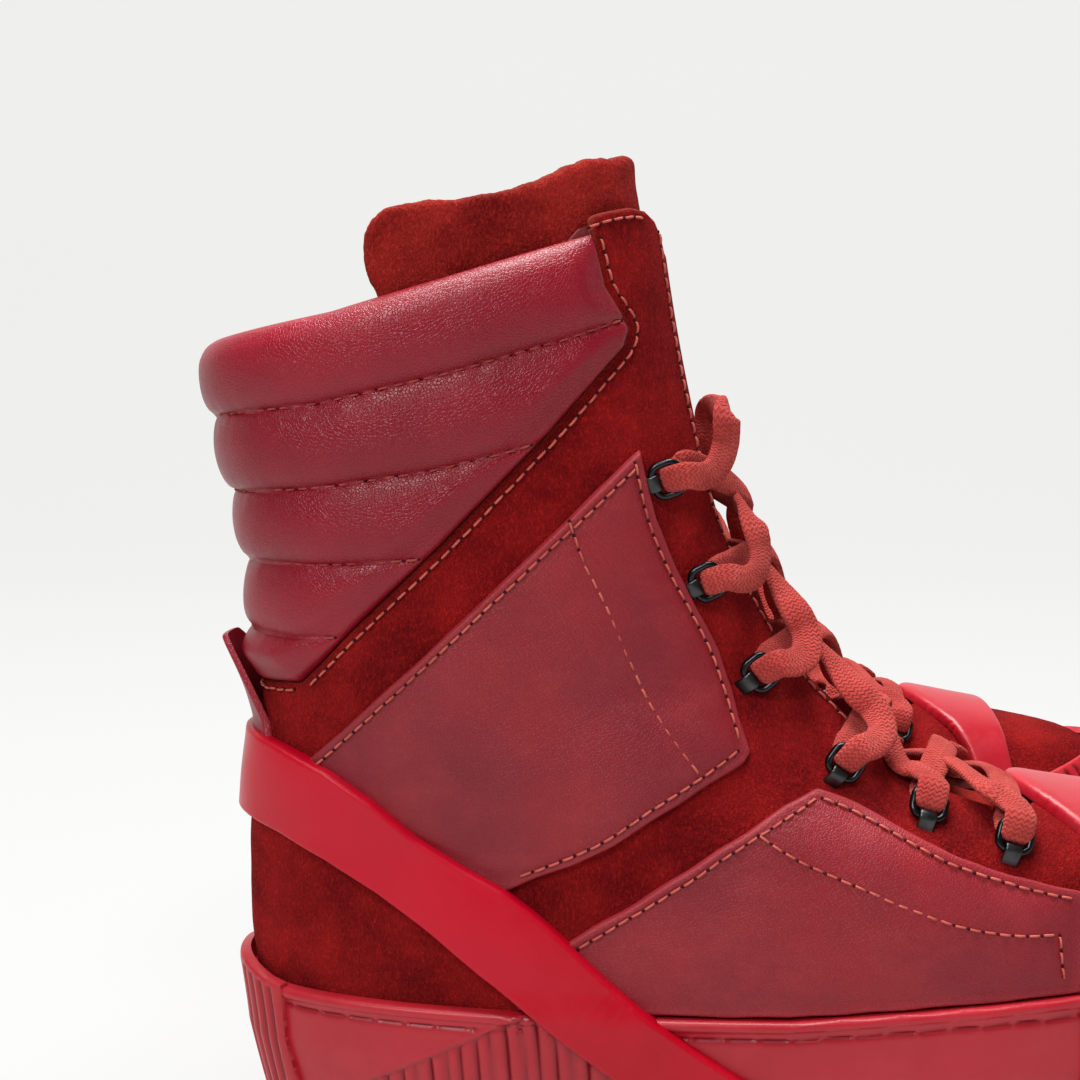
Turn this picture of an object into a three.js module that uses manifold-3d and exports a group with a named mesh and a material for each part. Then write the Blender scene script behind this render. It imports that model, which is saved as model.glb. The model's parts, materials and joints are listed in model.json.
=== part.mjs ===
// A pair of laced, quilt-collared boxing boots, standing side by side.
// Millimetres, +Z up, toes along +X, the right boot at -Y. The origin is the centre of the
// pair's footprint, on the ground.
import * as THREE from 'three';
import { mergeVertices } from 'three/addons/utils/BufferGeometryUtils.js';
import Module from 'manifold-3d';

const wasm = await Module();
wasm.setup();

// ---------------------------------------------------------------- driving dimensions
const upperLength = 302;        // heel to toe of the suede upper
const ballWidth = 94;           // across the ball of the foot
const ankleWidth = 74;
const collarWidth = 82;         // suede shaft at the collar, without its padding
const randHeight = 45;          // rubber wall above the ground, at the heel
const collarHeight = 224;       // back of the collar above the ground
const bootSpacing = 142;        // between the middles of the two boots

const suede = 2.4;              // thickness of the suede upper
const lining = 2.0;
const panelLeather = 2.0;       // ankle and side panels
const collarPad = 7.4;          // quilted collar, through the padding
const tonguePad = 6.0;
const randWall = 2.6;           // rubber wall where it stands against the upper
const bumperWall = 2.3;         // ribbed heel and toe bumpers
const strapRubber = 2.8;
const bandRubber = 1.6;
const tabLeather = 1.8;
const soleFloor = 24;           // ground to the top of the solid sole
const boardThickness = 1.8;
const footbedThickness = 4.0;
const gap = 0.3;                // between pieces that touch

const ringWire = 1.8;           // lace rings
const ringWidth = 10.5;
const ringReach = 9.5;
const ringTilt = 28;            // degrees that a ring stands off the suede
const ringSeat = 0.8;           // from the suede to the bar that a ring turns on
const laceDiameter = 4.0;

const throatWidth = 44;         // lace opening between the facings
const frontGap = 7;             // between the two facings above the top ring

// ---------------------------------------------------------------- the last
// The boot was drawn at one base size. Its outlines are graded from that to the sizes above.
const base = { length: 302, rand: 45, collar: 224, throat: 44 };
const baseHalf = { ball: 47, ankle: 37, collar: 41 };
const half = { ball: ballWidth / 2, ankle: ankleWidth / 2, collar: collarWidth / 2 };

const along = (x) => x * (upperLength / base.length);
const up = (z) => (z <= base.rand
  ? z * (randHeight / base.rand)
  : randHeight + (z - base.rand) * ((collarHeight - randHeight) / (base.collar - base.rand)));
const graded = ([x, z]) => [along(x), up(z)];
const wide = (y, part) => y * (half[part] / baseHalf[part]);

// Level outlines of the upper: height, heel, toe or instep, widest point, half width there,
// and how full the outline is in front of and behind that point.
const levels = [
  [0, 6, 300, 192, wide(46, 'ball'), 2.3, 2.4],
  [28, 4.5, 302, 192, wide(47, 'ball'), 2.3, 2.4],
  [45, 2.5, 302, 190, wide(47, 'ball'), 2.3, 2.4],
  [60, 0.4, 301, 184, wide(45.5, 'ball'), 2.25, 2.4],
  [75, 0.3, 295, 168, wide(43, 'ball'), 2.15, 2.3],
  [86, 0.4, 280, 145, wide(41, 'ball'), 2.05, 2.25],
  [93, 1, 238, 120, wide(40, 'ankle'), 1.95, 2.2],
  [102, 2, 200, 100, wide(39, 'ankle'), 1.9, 2.2],
  [115, 3.5, 183, 85, wide(38, 'ankle'), 1.9, 2.2],
  [130, 5, 165, 72, wide(37, 'ankle'), 1.9, 2.2],
  [150, 5.5, 149, 64, wide(37, 'ankle'), 2.0, 2.2],
  [175, 2.5, 136, 60, wide(37.5, 'ankle'), 2.1, 2.2],
  [205, -4, 126, 56, wide(39, 'collar'), 2.2, 2.2],
  [235, -9, 119, 54, wide(41, 'collar'), 2.2, 2.2],
  [285, -16, 111, 52, wide(42, 'collar'), 2.2, 2.2],
].map(([z, back, front, middle, ...rest]) => [up(z), along(back), along(front), along(middle), ...rest]);

// A smooth curve through one column of the level table, with no overshoot between rows.
function profile(column) {
  const z = levels.map((row) => row[0]);
  const v = levels.map((row) => row[column]);
  const rise = z.slice(1).map((_, i) => (v[i + 1] - v[i]) / (z[i + 1] - z[i]));
  const slope = z.map((_, i) => {
    if (i === 0) return rise[0];
    if (i === z.length - 1) return rise[i - 1];
    const [before, after] = [rise[i - 1], rise[i]];
    return before * after <= 0 ? 0 : (2 * before * after) / (before + after);
  });
  return (height) => {
    const h = Math.min(Math.max(height, z[0]), z[z.length - 1]);
    let i = z.findIndex((value) => value >= h) - 1;
    i = Math.max(i, 0);
    const step = z[i + 1] - z[i];
    const t = (h - z[i]) / step;
    const [t2, t3] = [t * t, t * t * t];
    return (2 * t3 - 3 * t2 + 1) * v[i] + (t3 - 2 * t2 + t) * step * slope[i]
      + (3 * t2 - 2 * t3) * v[i + 1] + (t3 - t2) * step * slope[i + 1];
  };
}
const [heelAt, toeAt, middleAt, halfWidthAt, frontFullness, backFullness] = [1, 2, 3, 4, 5, 6].map(profile);

// A point of the upper's outer face. The angle is 0 at the toe or instep and 180 at the heel;
// the toe end is turned a little inward, as a foot is.
const toeTurn = 7;
function lastPoint(z, angle) {
  const c = Math.cos(angle);
  const s = Math.sin(angle);
  const front = c >= 0;
  const power = 2 / (front ? frontFullness(z) : backFullness(z));
  const reach = front ? toeAt(z) - middleAt(z) : middleAt(z) - heelAt(z);
  const x = middleAt(z) + Math.sign(c) * reach * Math.abs(c) ** power;
  const ahead = Math.max(0, (x - along(150)) / along(150));
  const y = -Math.sign(s) * halfWidthAt(z) * Math.abs(s) ** power + toeTurn * ahead * ahead;
  return new THREE.Vector3(x, y, z);
}

const small = 0.01;
function lastNormal(z, angle) {
  const acrossAngle = lastPoint(z, angle + small).sub(lastPoint(z, angle - small));
  const upward = lastPoint(z + small, angle).sub(lastPoint(z - small, angle));
  return upward.cross(acrossAngle).normalize();
}
const onLast = (z, angle, offset) => lastPoint(z, angle).addScaledVector(lastNormal(z, angle), offset);

// ---------------------------------------------------------------- solids
function toSolid(geometry) {
  geometry.deleteAttribute('normal');
  geometry.deleteAttribute('uv');
  const merged = mergeVertices(geometry, 1e-4);
  return new wasm.Manifold(new wasm.Mesh({
    numProp: 3,
    vertProperties: new Float32Array(merged.attributes.position.array),
    triVerts: new Uint32Array(merged.index.array),
  }));
}

function toGeometry(solid) {
  const mesh = solid.getMesh();
  const geometry = new THREE.BufferGeometry();
  geometry.setAttribute('position', new THREE.BufferAttribute(mesh.vertProperties, 3));
  geometry.setIndex(new THREE.BufferAttribute(mesh.triVerts, 1));
  return geometry;
}

// The upper grown by an offset (a number, or a rule from height to a number), closed at both ends.
const around = 20;
function grown(offset, heights) {
  const rule = typeof offset === 'function' ? offset : () => offset;
  const positions = [];
  const index = [];
  heights.forEach((z, row) => {
    const flatEnd = row === 0 || row === heights.length - 1;
    for (let i = 0; i < around; i += 1) {
      const angle = ((i + 0.5) / around) * 2 * Math.PI;
      const p = onLast(z, angle, rule(z));
      positions.push(p.x, p.y, flatEnd ? z : p.z);
    }
  });
  for (let row = 0; row < heights.length - 1; row += 1) {
    for (let i = 0; i < around; i += 1) {
      const [a, b] = [row * around + i, row * around + ((i + 1) % around)];
      index.push(a, a + around, b, b, a + around, b + around);
    }
  }
  const top = (heights.length - 1) * around;
  for (let i = 1; i < around - 1; i += 1) {
    index.push(0, i, i + 1);
    index.push(top, top + i + 1, top + i);
  }
  const geometry = new THREE.BufferGeometry();
  geometry.setAttribute('position', new THREE.Float32BufferAttribute(positions, 3));
  geometry.setIndex(index);
  return toSolid(geometry);
}

const bootHeights = [18, 36, 52, 67, 80, 91, 102, 117, 137, 163, 197, 235, 285].map(up);
const footHeights = bootHeights.filter((z) => z < up(125));
const between = (inner, outer, heights = bootHeights) => grown(outer, heights).subtract(
  grown(inner, [heights[0] - 5, ...heights.slice(1, -1), heights[heights.length - 1] + 5]),
);

// A side view outline, given at the base size, pushed right across the boot.
const farSide = 90;
function sidePrism(outline, from = -farSide, to = farSide) {
  const shape = new THREE.Shape(outline.map((point) => new THREE.Vector2(...graded(point))));
  const geometry = new THREE.ExtrudeGeometry(shape, { depth: to - from, bevelEnabled: false });
  geometry.rotateX(Math.PI / 2);
  geometry.translate(0, to, 0);
  return toSolid(geometry);
}
// A front view outline pushed along the boot.
function frontPrism(outline, from, to) {
  const shape = new THREE.Shape(outline.map(([y, z]) => new THREE.Vector2(y, up(z))));
  const geometry = new THREE.ExtrudeGeometry(shape, { depth: to - from, bevelEnabled: false });
  geometry.rotateX(Math.PI / 2);
  geometry.rotateZ(Math.PI / 2);
  geometry.translate(from, 0, 0);
  return toSolid(geometry);
}
// A plan outline, mirrored about the boot's middle, pushed upwards.
function planPrism(halfOutline, from, to) {
  const near = halfOutline.map(([x, y]) => new THREE.Vector2(along(x), y * (throatWidth / base.throat)));
  const far = near.map((p) => new THREE.Vector2(p.x, -p.y)).reverse();
  const shape = new THREE.Shape([...far, ...near]);
  const geometry = new THREE.ExtrudeGeometry(shape, { depth: to - from, bevelEnabled: false });
  geometry.translate(0, 0, from);
  return toSolid(geometry);
}
const outerSide = (outline) => sidePrism(outline, -farSide, 0);
const innerSide = (outline) => sidePrism(outline, 0, farSide);

// ---------------------------------------------------------------- outlines, in the side view
const collarTop = [[-30, 219], [-12, 223], [30, 231], [61, 240], [92, 249], [98, 251]];
const collarFront = [[101, 238], [107, 228], [100, 215], [87, 200]];
const collarLower = [[58, 170], [34, 147], [19, 131.5], [-30, 130]];
const collarOutline = [...collarTop, ...collarFront, ...collarLower];
const shaftTop = [[-30, 219], [-12, 223], [30, 231], [61, 240], [92, 251], [101, 257], [118, 261],
  [150, 262]];
const randTop = [[-20, 45], [150, 45], [226, 50.5], [330, 56]];
const panelAnkle = [[110.5, 195], [20, 108.6], [31, 97], [75, 77], [110, 94], [140, 112],
  [136, 130], [128, 149], [115, 176]];
const panelSide = [[159, 103], [142, 95], [124, 84], [91.5, 64], [80, 45.4], [150, 45.4], [228, 51],
  [230, 76], [213, 80.5], [196, 86], [181, 93]];
const strapOutline = [[-30, 118], [0, 116.4], [28, 108.5], [52, 92], [75, 78], [92, 64.5], [111, 48],
  [139, 29], [176, 6], [144, 6], [105, 28.5], [82, 45], [55, 65.5], [27, 83], [2, 91.4], [-30, 92]];
const bandOutline = [[218, 130], [250, 130], [251, 93], [253, 69.4], [243, 65.2], [232, 52.6],
  [227, 74], [219, 93]];
const toeBumperOutline = [[228, 2], [228, 46], [243, 64], [266, 73], [292, 80], [330, 82], [330, 2]];
const heelBumperOutline = [[-20, 53], [0, 51.5], [6, 48.5], [14.5, 46], [15.5, 30], [20, 2], [-20, 2]];
// Plan view of the lace opening below the top ring: distance along the boot, half width.
const throatOutline = [[100, 24], [124, 23], [140, 22], [165, 24.5], [190, 29.5], [211, 31.5],
  [219, 28], [224, 17], [226, 6]];
const tongueOutline = [[41, 230], [40, 244], [45, 253], [60, 259], [77, 265], [92, 271], [107, 275],
  [125, 276],
  [150, 240], [150, 180], [200, 140], [240, 110], [232, 84], [205, 78], [150, 84], [132, 110], [112, 150],
  [92, 190], [70, 215]];
const foldLine = [[-30, 222], [30, 233.5], [61, 242.5], [92, 254], [101, 260.5], [118, 264], [170, 264.5]];

const rear = -30;
const beyond = 330;
const under = (line) => {
  const ahead = [beyond, line[line.length - 1][1]];
  return [[rear, -20], ...line.filter(([x]) => x > rear), ahead, [beyond, -20]];
};

// How far the sole's wall stands off the upper at each height: full at the rand, drawn in below.
const soleDraft = 5.5;
const soleOffset = (z) => randWall + gap - soleDraft * Math.max(0, 1 - z / up(30)) ** 1.2;
// The strap lies on the panels and steps out over the rubber wall.
const strapSeat = panelLeather + 2 * gap;
const strapInside = (z) => {
  const t = THREE.MathUtils.smoothstep(z, up(44), up(56));
  return (soleOffset(z) + gap) * (1 - t) + strapSeat * t;
};
// The pull tab is flat to the heel at its root and flares back above it.
const tabRoot = 118;
const tabTip = 142;
const tabFlare = 10.2;
const tabInside = (z) => gap + tabFlare * Math.max(0, (z - up(tabRoot)) / (up(tabTip) - up(tabRoot)));
// The padding thins towards the collar's lower edge.
const thinnest = 0.45;
const padOutside = (z) => {
  const filled = THREE.MathUtils.smoothstep(z, up(126), up(150));
  return (collarPad - suede) * (thinnest + (1 - thinnest) * filled);
};

// ---------------------------------------------------------------- pieces of one boot
const throatBottom = 78;
const throatTop = 198;
const throat = planPrism(throatOutline, up(throatBottom), up(throatTop));
const frontSlit = sidePrism([[100, 190], [160, 190], [160, 300], [100, 300]], -frontGap / 2, frontGap / 2);

const insideFloor = soleFloor + gap;
const footbedTop = insideFloor + boardThickness + gap + footbedThickness;

function cupSole() {
  const soleHeights = [0, 12, 30, 45, 60].map(up);
  const cavity = grown(gap, [soleFloor, ...bootHeights.slice(1, 4)]);
  return grown(soleOffset, soleHeights).intersect(sidePrism(under(randTop))).subtract(cavity);
}

function bumper(outline) {
  const heights = [2, 14, 30, 44, 56, 68, 80, 88].map(up);
  const inside = (z) => soleOffset(z) + gap;
  const outside = (z) => soleOffset(z) + gap + bumperWall;
  return between(inside, outside, heights).intersect(sidePrism(outline));
}

function heelStrap() {
  const heights = [4, 16, 30, 44, 50, 58, 70, 82, 93, 104, 116, 128].map(up);
  const layer = between(strapInside, (z) => strapInside(z) + strapRubber, heights);
  return layer.intersect(sidePrism(strapOutline)).subtract(grown(soleOffset, [0, 30, 45, 46].map(up)));
}

const forefootBand = () => between(panelLeather + 2 * gap, panelLeather + 2 * gap + bandRubber, footHeights)
  .intersect(sidePrism(bandOutline));

function suedeUpper() {
  const heights = [insideFloor, ...bootHeights.slice(1)];
  const shell = between(-suede, 0, heights).intersect(sidePrism(under(shaftTop)));
  return shell.subtract(sidePrism(collarSeat)).subtract(throat).subtract(frontSlit);
}

// The hole that the collar leaves in the suede, a gap wider than the collar on its front and
// lower edges.
const collarSeat = [[-40, 300], [98.6, 300], [98.6, 251], [101.6, 238], [107.7, 228], [100.5, 214.4],
  [87.4, 199.6], [58.4, 169.6], [34.2, 146.6], [19.2, 131], [-40, 129.5]];

function collarPiece() {
  return between(-suede, padOutside).intersect(sidePrism(collarOutline));
}

function liningPiece() {
  const heights = [footbedTop + gap, ...bootHeights.slice(2)];
  const outside = -suede - gap;
  return between(outside - lining, outside, heights)
    .intersect(sidePrism(under(shaftTop.map(([x, z]) => [x, z - 3])))).subtract(throat).subtract(frontSlit);
}

function tonguePieces() {
  const outside = -suede - lining - 2 * gap;
  const sheet = between(outside - tonguePad, outside).intersect(sidePrism(tongueOutline));
  const belowFold = sidePrism(under(foldLine));
  const foldGap = sidePrism(under(foldLine.map(([x, z]) => [x, z + gap])));
  return [sheet.intersect(belowFold), sheet.subtract(foldGap)];
}

const panelLayer = between(gap, gap + panelLeather, bootHeights.filter((z) => z < up(215)));
const board = (low, thickness) => grown(-suede - gap, [low, low + thickness]);

function heelTab() {
  const heights = [110, tabRoot, 124, 130, 136, 142, 148].map(up);
  const layer = between(tabInside, (z) => tabInside(z) + tabLeather, heights);
  const edge = [[15, tabRoot], [11, 130], [8, 139], [5, tabTip]];
  const shape = [...edge, ...edge.map(([y, z]) => [-y, z]).reverse()];
  return layer.intersect(frontPrism(shape, -40, 30));
}

// ---------------------------------------------------------------- lace rings and lace
// The rings stand along the panels' front edges: place in the side view of each, top first.
const ringPlaces = [[114, 185.5], [125.5, 157], [141, 131], [165, 105.5], [189, 94], [211, 86.5]];

function angleAtSideView(x, z) {
  let [low, high] = [0, Math.PI];
  for (let i = 0; i < 40; i += 1) {
    const mid = (low + high) / 2;
    if (lastPoint(z, mid).x > x) low = mid;
    else high = mid;
  }
  return low;
}

// Where a ring sits: its middle on the suede, the way it reaches towards the lace opening,
// the way off the suede and the way along the facing's edge.
function ringFrame(k, side) {
  const [x, z] = graded(ringPlaces[k]);
  const angle = side * angleAtSideView(x, z);
  const middle = lastPoint(z, angle);
  const normal = lastNormal(z, angle);
  const before = ringPlaces[Math.max(k - 1, 0)];
  const after = ringPlaces[Math.min(k + 1, ringPlaces.length - 1)];
  const edge = new THREE.Vector3(along(after[0] - before[0]), 0, up(after[1]) - up(before[1]));
  edge.addScaledVector(normal, -edge.dot(normal)).normalize();
  const reach = new THREE.Vector3().crossVectors(normal, edge).normalize();
  if (reach.y * side < 0) reach.negate();
  return { middle, normal, edge, reach };
}

// A closed bar bent into a rounded oblong; its near side is the bar that the facing holds.
function ringGeometry() {
  const [w, l] = [(ringWidth - ringWire) / 2, ringReach - ringWire];
  const corner = 2.6;
  const path = new THREE.CurvePath();
  const at = (a, b) => new THREE.Vector3(a, b, 0);
  const straight = (...ends) => path.add(new THREE.LineCurve3(...ends));
  const bend = (...points) => path.add(new THREE.QuadraticBezierCurve3(...points));
  straight(at(0, corner - w), at(0, w - corner));
  bend(at(0, w - corner), at(0, w), at(corner, w));
  straight(at(corner, w), at(l - corner, w));
  bend(at(l - corner, w), at(l, w), at(l, w - corner));
  straight(at(l, w - corner), at(l, corner - w));
  bend(at(l, corner - w), at(l, -w), at(l - corner, -w));
  straight(at(l - corner, -w), at(corner, -w));
  bend(at(corner, -w), at(0, -w), at(0, corner - w));
  return loopGeometry(path.getSpacedPoints(12).slice(0, -1), ringWire / 2, 5);
}

// A round bar swept round a closed flat loop.
function loopGeometry(points, radius, sides) {
  const positions = [];
  const index = [];
  const n = points.length;
  points.forEach((p, i) => {
    const way = points[(i + 1) % n].clone().sub(points[(i + n - 1) % n]).normalize();
    const out = new THREE.Vector3(way.y, -way.x, 0);
    for (let k = 0; k < sides; k += 1) {
      const a = (k / sides) * 2 * Math.PI;
      const q = p.clone().addScaledVector(out, radius * Math.cos(a));
      positions.push(q.x, q.y, q.z + radius * Math.sin(a));
    }
  });
  for (let i = 0; i < n; i += 1) {
    for (let k = 0; k < sides; k += 1) {
      const [a, b] = [i * sides + k, i * sides + ((k + 1) % sides)];
      const [c, d] = [((i + 1) % n) * sides + k, ((i + 1) % n) * sides + ((k + 1) % sides)];
      index.push(a, c, b, b, c, d);
    }
  }
  const geometry = new THREE.BufferGeometry();
  geometry.setAttribute('position', new THREE.Float32BufferAttribute(positions, 3));
  geometry.setIndex(index);
  return geometry;
}

function placeRing(mesh, frame) {
  const tilt = THREE.MathUtils.degToRad(ringTilt);
  const reach = frame.reach.clone()
    .multiplyScalar(Math.cos(tilt))
    .addScaledVector(frame.normal, Math.sin(tilt));
  const off = new THREE.Vector3().crossVectors(reach, frame.edge);
  mesh.matrixAutoUpdate = false;
  mesh.matrix.makeBasis(reach, frame.edge, off);
  mesh.matrix.setPosition(frame.middle.clone().addScaledVector(frame.normal, ringWire / 2 + ringSeat));
}

// The lace's points are spaced by hand, close together where it turns round a ring.
class LaceRoute extends THREE.CatmullRomCurve3 {
  getPointAt(u) { return this.getPoint(u); }

  getTangentAt(u) { return this.getTangent(u); }
}

// One turn of lace round a ring's far bar: under it, up through the ring, and back over it.
const laceClear = 0.55;
function ringTurn(k, side, entersLow) {
  const { middle, normal, reach } = ringFrame(k, side);
  const at = (forward, off) => middle.clone()
    .addScaledVector(reach, forward)
    .addScaledVector(normal, off);
  const tilt = THREE.MathUtils.degToRad(ringTilt);
  const barReach = ringReach - ringWire;
  const seat = ringWire / 2 + ringSeat;
  const bar = { forward: barReach * Math.cos(tilt), off: seat + barReach * Math.sin(tilt) };
  const inside = { forward: bar.forward / 2, off: seat + (bar.off - seat) / 2 };
  const pass = (ringWire + laceDiameter) / 2 + laceClear;
  const turn = [
    at(bar.forward + 1.5 * laceDiameter, bar.off - pass - 1),
    at(bar.forward + 0.4 * laceDiameter, bar.off - pass - 1.2),
    at(inside.forward, inside.off - 0.1 * laceDiameter),
    at(bar.forward - 0.35 * laceDiameter, bar.off + pass + 0.9),
    at(bar.forward + laceDiameter, bar.off + pass + 1.9),
  ];
  return entersLow ? turn : turn.reverse();
}

// The rings in the order the lace reaches them: from the inner top ring over to the outer one,
// zigzagging down to the toe, and zigzagging back up.
const turnsDown = [[0, -1], [0, 1], [1, -1], [2, 1], [3, -1], [4, 1], [5, -1]];
const turnsUp = [[5, 1], [4, -1], [3, 1], [2, -1], [1, 1]];

// How far the two runs of lace stand off the instep where they cross.
const tightRise = 2.4;
const looseRise = tightRise + 1.6 * laceDiameter;
// The ridge of the instep nearest to a point, and the way off it, in the boot's middle plane.
function ridgeBelow(point) {
  const reach = (z) => Math.hypot(toeAt(z) - point.x, z - point.z);
  let nearest = up(84);
  for (let z = up(84); z < up(215); z += 0.5) if (reach(z) < reach(nearest)) nearest = z;
  const slope = (toeAt(nearest + 1) - toeAt(nearest - 1)) / 2;
  const off = new THREE.Vector3(1, 0, -slope).normalize();
  return { ridge: new THREE.Vector3(toeAt(nearest), 0, nearest), off };
}

function crossing(from, to, rise) {
  const middle = from.clone().add(to).multiplyScalar(0.5);
  const { ridge, off } = ridgeBelow(middle);
  ridge.y = middle.y;
  return ridge.addScaledVector(off, rise);
}

const knotDrop = 7;
function laceGeometry() {
  const points = [];
  [...turnsDown, ...turnsUp].forEach(([k, side], i) => {
    const turn = ringTurn(k, side, i !== 0);
    const rise = i < turnsDown.length ? looseRise : tightRise;
    if (points.length) points.push(crossing(points[points.length - 1], turn[0], rise));
    points.push(...turn);
  });
  const knot = ringTurn(0, -1, true)[0].add(new THREE.Vector3(0, 0, -knotDrop));
  points.push(crossing(points[points.length - 1], knot, tightRise), knot);
  const route = new LaceRoute(points, false, 'centripetal');
  const section = new THREE.Shape().absarc(0, 0, laceDiameter / 2, 0, 2 * Math.PI);
  const sectionPoints = section.getPoints(4).slice(0, -1);
  return new THREE.ExtrudeGeometry(new THREE.Shape(sectionPoints), {
    steps: points.length - 1, extrudePath: route, bevelEnabled: false,
  });
}

// ---------------------------------------------------------------- materials and assembly
const finishes = {
  rubber: { color: 0xa8182a, roughness: 0.42, metalness: 0 },
  suede: { color: 0x7c1512, roughness: 0.95, metalness: 0 },
  collarLeather: { color: 0x8a1024, roughness: 0.5, metalness: 0 },
  panelLeather: { color: 0x8b1a26, roughness: 0.55, metalness: 0 },
  lining: { color: 0x6f1318, roughness: 0.8, metalness: 0 },
  footbed: { color: 0x5c1414, roughness: 0.85, metalness: 0 },
  lace: { color: 0xa62f30, roughness: 0.9, metalness: 0 },
  ring: { color: 0x1c1d20, roughness: 0.25, metalness: 1 },
};
const material = (finish) => new THREE.MeshStandardMaterial(finishes[finish]);
const named = (name, geometry, finish) => {
  const mesh = new THREE.Mesh(geometry, material(finish));
  mesh.name = name;
  return mesh;
};

function bootPieces() {
  const [tongueLower, tongueTop] = tonguePieces();
  return [
    ['cup_sole', cupSole(), 'rubber'],
    ['heel_bumper', bumper(heelBumperOutline), 'rubber'],
    ['toe_bumper', bumper(toeBumperOutline), 'rubber'],
    ['heel_strap', heelStrap(), 'rubber'],
    ['forefoot_band', forefootBand(), 'rubber'],
    ['lasting_board', board(insideFloor, boardThickness), 'footbed'],
    ['footbed', board(insideFloor + boardThickness + gap, footbedThickness), 'footbed'],
    ['suede_upper', suedeUpper(), 'suede'],
    ['quilted_collar', collarPiece(), 'collarLeather'],
    ['lining', liningPiece(), 'lining'],
    ['tongue', tongueLower, 'suede'],
    ['tongue_top', tongueTop, 'suede'],
    ['ankle_panel_outer', panelLayer.intersect(outerSide(panelAnkle)), 'panelLeather'],
    ['ankle_panel_inner', panelLayer.intersect(innerSide(panelAnkle)), 'panelLeather'],
    ['side_panel_outer', panelLayer.intersect(outerSide(panelSide)), 'panelLeather'],
    ['side_panel_inner', panelLayer.intersect(innerSide(panelSide)), 'panelLeather'],
    ['pull_tab', heelTab(), 'suede'],
  ];
}

function buildBoot(prefix, mirror) {
  const boot = new THREE.Group();
  const flip = (geometry) => {
    if (!mirror) return geometry;
    geometry.scale(1, -1, 1);
    const order = geometry.index.array;
    for (let i = 0; i < order.length; i += 3) [order[i], order[i + 1]] = [order[i + 1], order[i]];
    return geometry;
  };
  bootPieces().forEach(([name, solid, finish]) => {
    boot.add(named(`${prefix}_${name}`, flip(toGeometry(solid)), finish));
  });
  boot.add(named(`${prefix}_lace`, flip(toGeometry(toSolid(laceGeometry()))), 'lace'));
  [['outer', 1], ['inner', -1]].forEach(([sideName, side]) => {
    ringPlaces.forEach((_, k) => {
      const ring = named(`${prefix}_ring_${sideName}_${k + 1}`, ringGeometry(), 'ring');
      placeRing(ring, ringFrame(k, side));
      ring.geometry.applyMatrix4(ring.matrix);
      ring.matrix.identity();
      ring.geometry = flip(ring.geometry);
      boot.add(ring);
    });
  });
  return boot;
}

const group = new THREE.Group();
const right = buildBoot('right', false);
right.position.y = -bootSpacing / 2;
const left = buildBoot('left', true);
left.position.y = bootSpacing / 2;
group.add(right, left);

const span = new THREE.Box3().setFromObject(group);
[right, left].forEach((boot) => { boot.position.x -= (span.min.x + span.max.x) / 2; });

export default group;
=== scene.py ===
import json
import math

import bpy
import numpy as np
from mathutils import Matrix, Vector


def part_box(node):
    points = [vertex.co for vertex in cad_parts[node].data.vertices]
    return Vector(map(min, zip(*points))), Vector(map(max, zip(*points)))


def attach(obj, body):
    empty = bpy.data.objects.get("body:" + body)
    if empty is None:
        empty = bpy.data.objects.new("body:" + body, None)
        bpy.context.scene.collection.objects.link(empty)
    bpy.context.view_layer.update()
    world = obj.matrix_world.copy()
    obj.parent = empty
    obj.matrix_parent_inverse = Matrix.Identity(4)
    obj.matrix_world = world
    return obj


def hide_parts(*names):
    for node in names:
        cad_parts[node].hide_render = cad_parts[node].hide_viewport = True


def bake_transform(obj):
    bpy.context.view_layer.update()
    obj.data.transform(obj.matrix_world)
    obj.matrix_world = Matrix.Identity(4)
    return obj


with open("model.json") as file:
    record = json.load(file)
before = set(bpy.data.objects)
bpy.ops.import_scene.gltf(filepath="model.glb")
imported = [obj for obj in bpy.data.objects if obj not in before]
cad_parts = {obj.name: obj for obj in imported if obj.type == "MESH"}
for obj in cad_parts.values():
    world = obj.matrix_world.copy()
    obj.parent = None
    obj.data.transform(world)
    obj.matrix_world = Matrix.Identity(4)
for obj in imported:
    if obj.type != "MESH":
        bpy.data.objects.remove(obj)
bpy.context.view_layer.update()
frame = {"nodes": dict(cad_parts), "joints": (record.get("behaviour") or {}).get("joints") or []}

# ------------------------------------------------------------------ studio
# A pale paper sweep under a large soft lamp, with a weaker one low in front. The camera stands
# beside the right boot's ankle, a little above it, and looks slightly down.
MM = 0.001
joints = {joint["name"]: joint for joint in frame["joints"]}
tab_root = Vector(joints["right_pull_tab_flex"]["pos_m"])
heel_x = tab_root.x - 3.2 * MM
middle_y = {"right": tab_root.y, "left": joints["left_pull_tab_flex"]["pos_m"][1]}

camera_data = bpy.data.cameras.new("studio_camera")
camera_data.lens = 52.5
camera_data.sensor_width = 36
camera_data.clip_start = 0.01
camera = bpy.data.objects.new("studio_camera", camera_data)
camera.location = (heel_x + 0.0843, middle_y["right"] - 0.450, 0.210)
camera.rotation_euler = (math.radians(90 - 5.33), 0, 0)
bpy.context.scene.collection.objects.link(camera)
bpy.context.scene.camera = camera
bpy.context.scene.view_settings.view_transform = "Standard"

world = bpy.data.worlds.new("studio_air")
bpy.context.scene.world = world
world.use_nodes = True
world.node_tree.nodes["Background"].inputs["Color"].default_value = (0.93, 0.93, 0.925, 1)
world.node_tree.nodes["Background"].inputs["Strength"].default_value = 0.16


def soft_lamp(name, place, target, size, power):
    data = bpy.data.lights.new(name, "AREA")
    data.shape, data.size, data.energy = "DISK", size, power
    lamp = bpy.data.objects.new(name, data)
    lamp.location = place
    lamp.rotation_euler = (Vector(target) - Vector(place)).to_track_quat("-Z", "Y").to_euler()
    bpy.context.scene.collection.objects.link(lamp)


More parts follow.
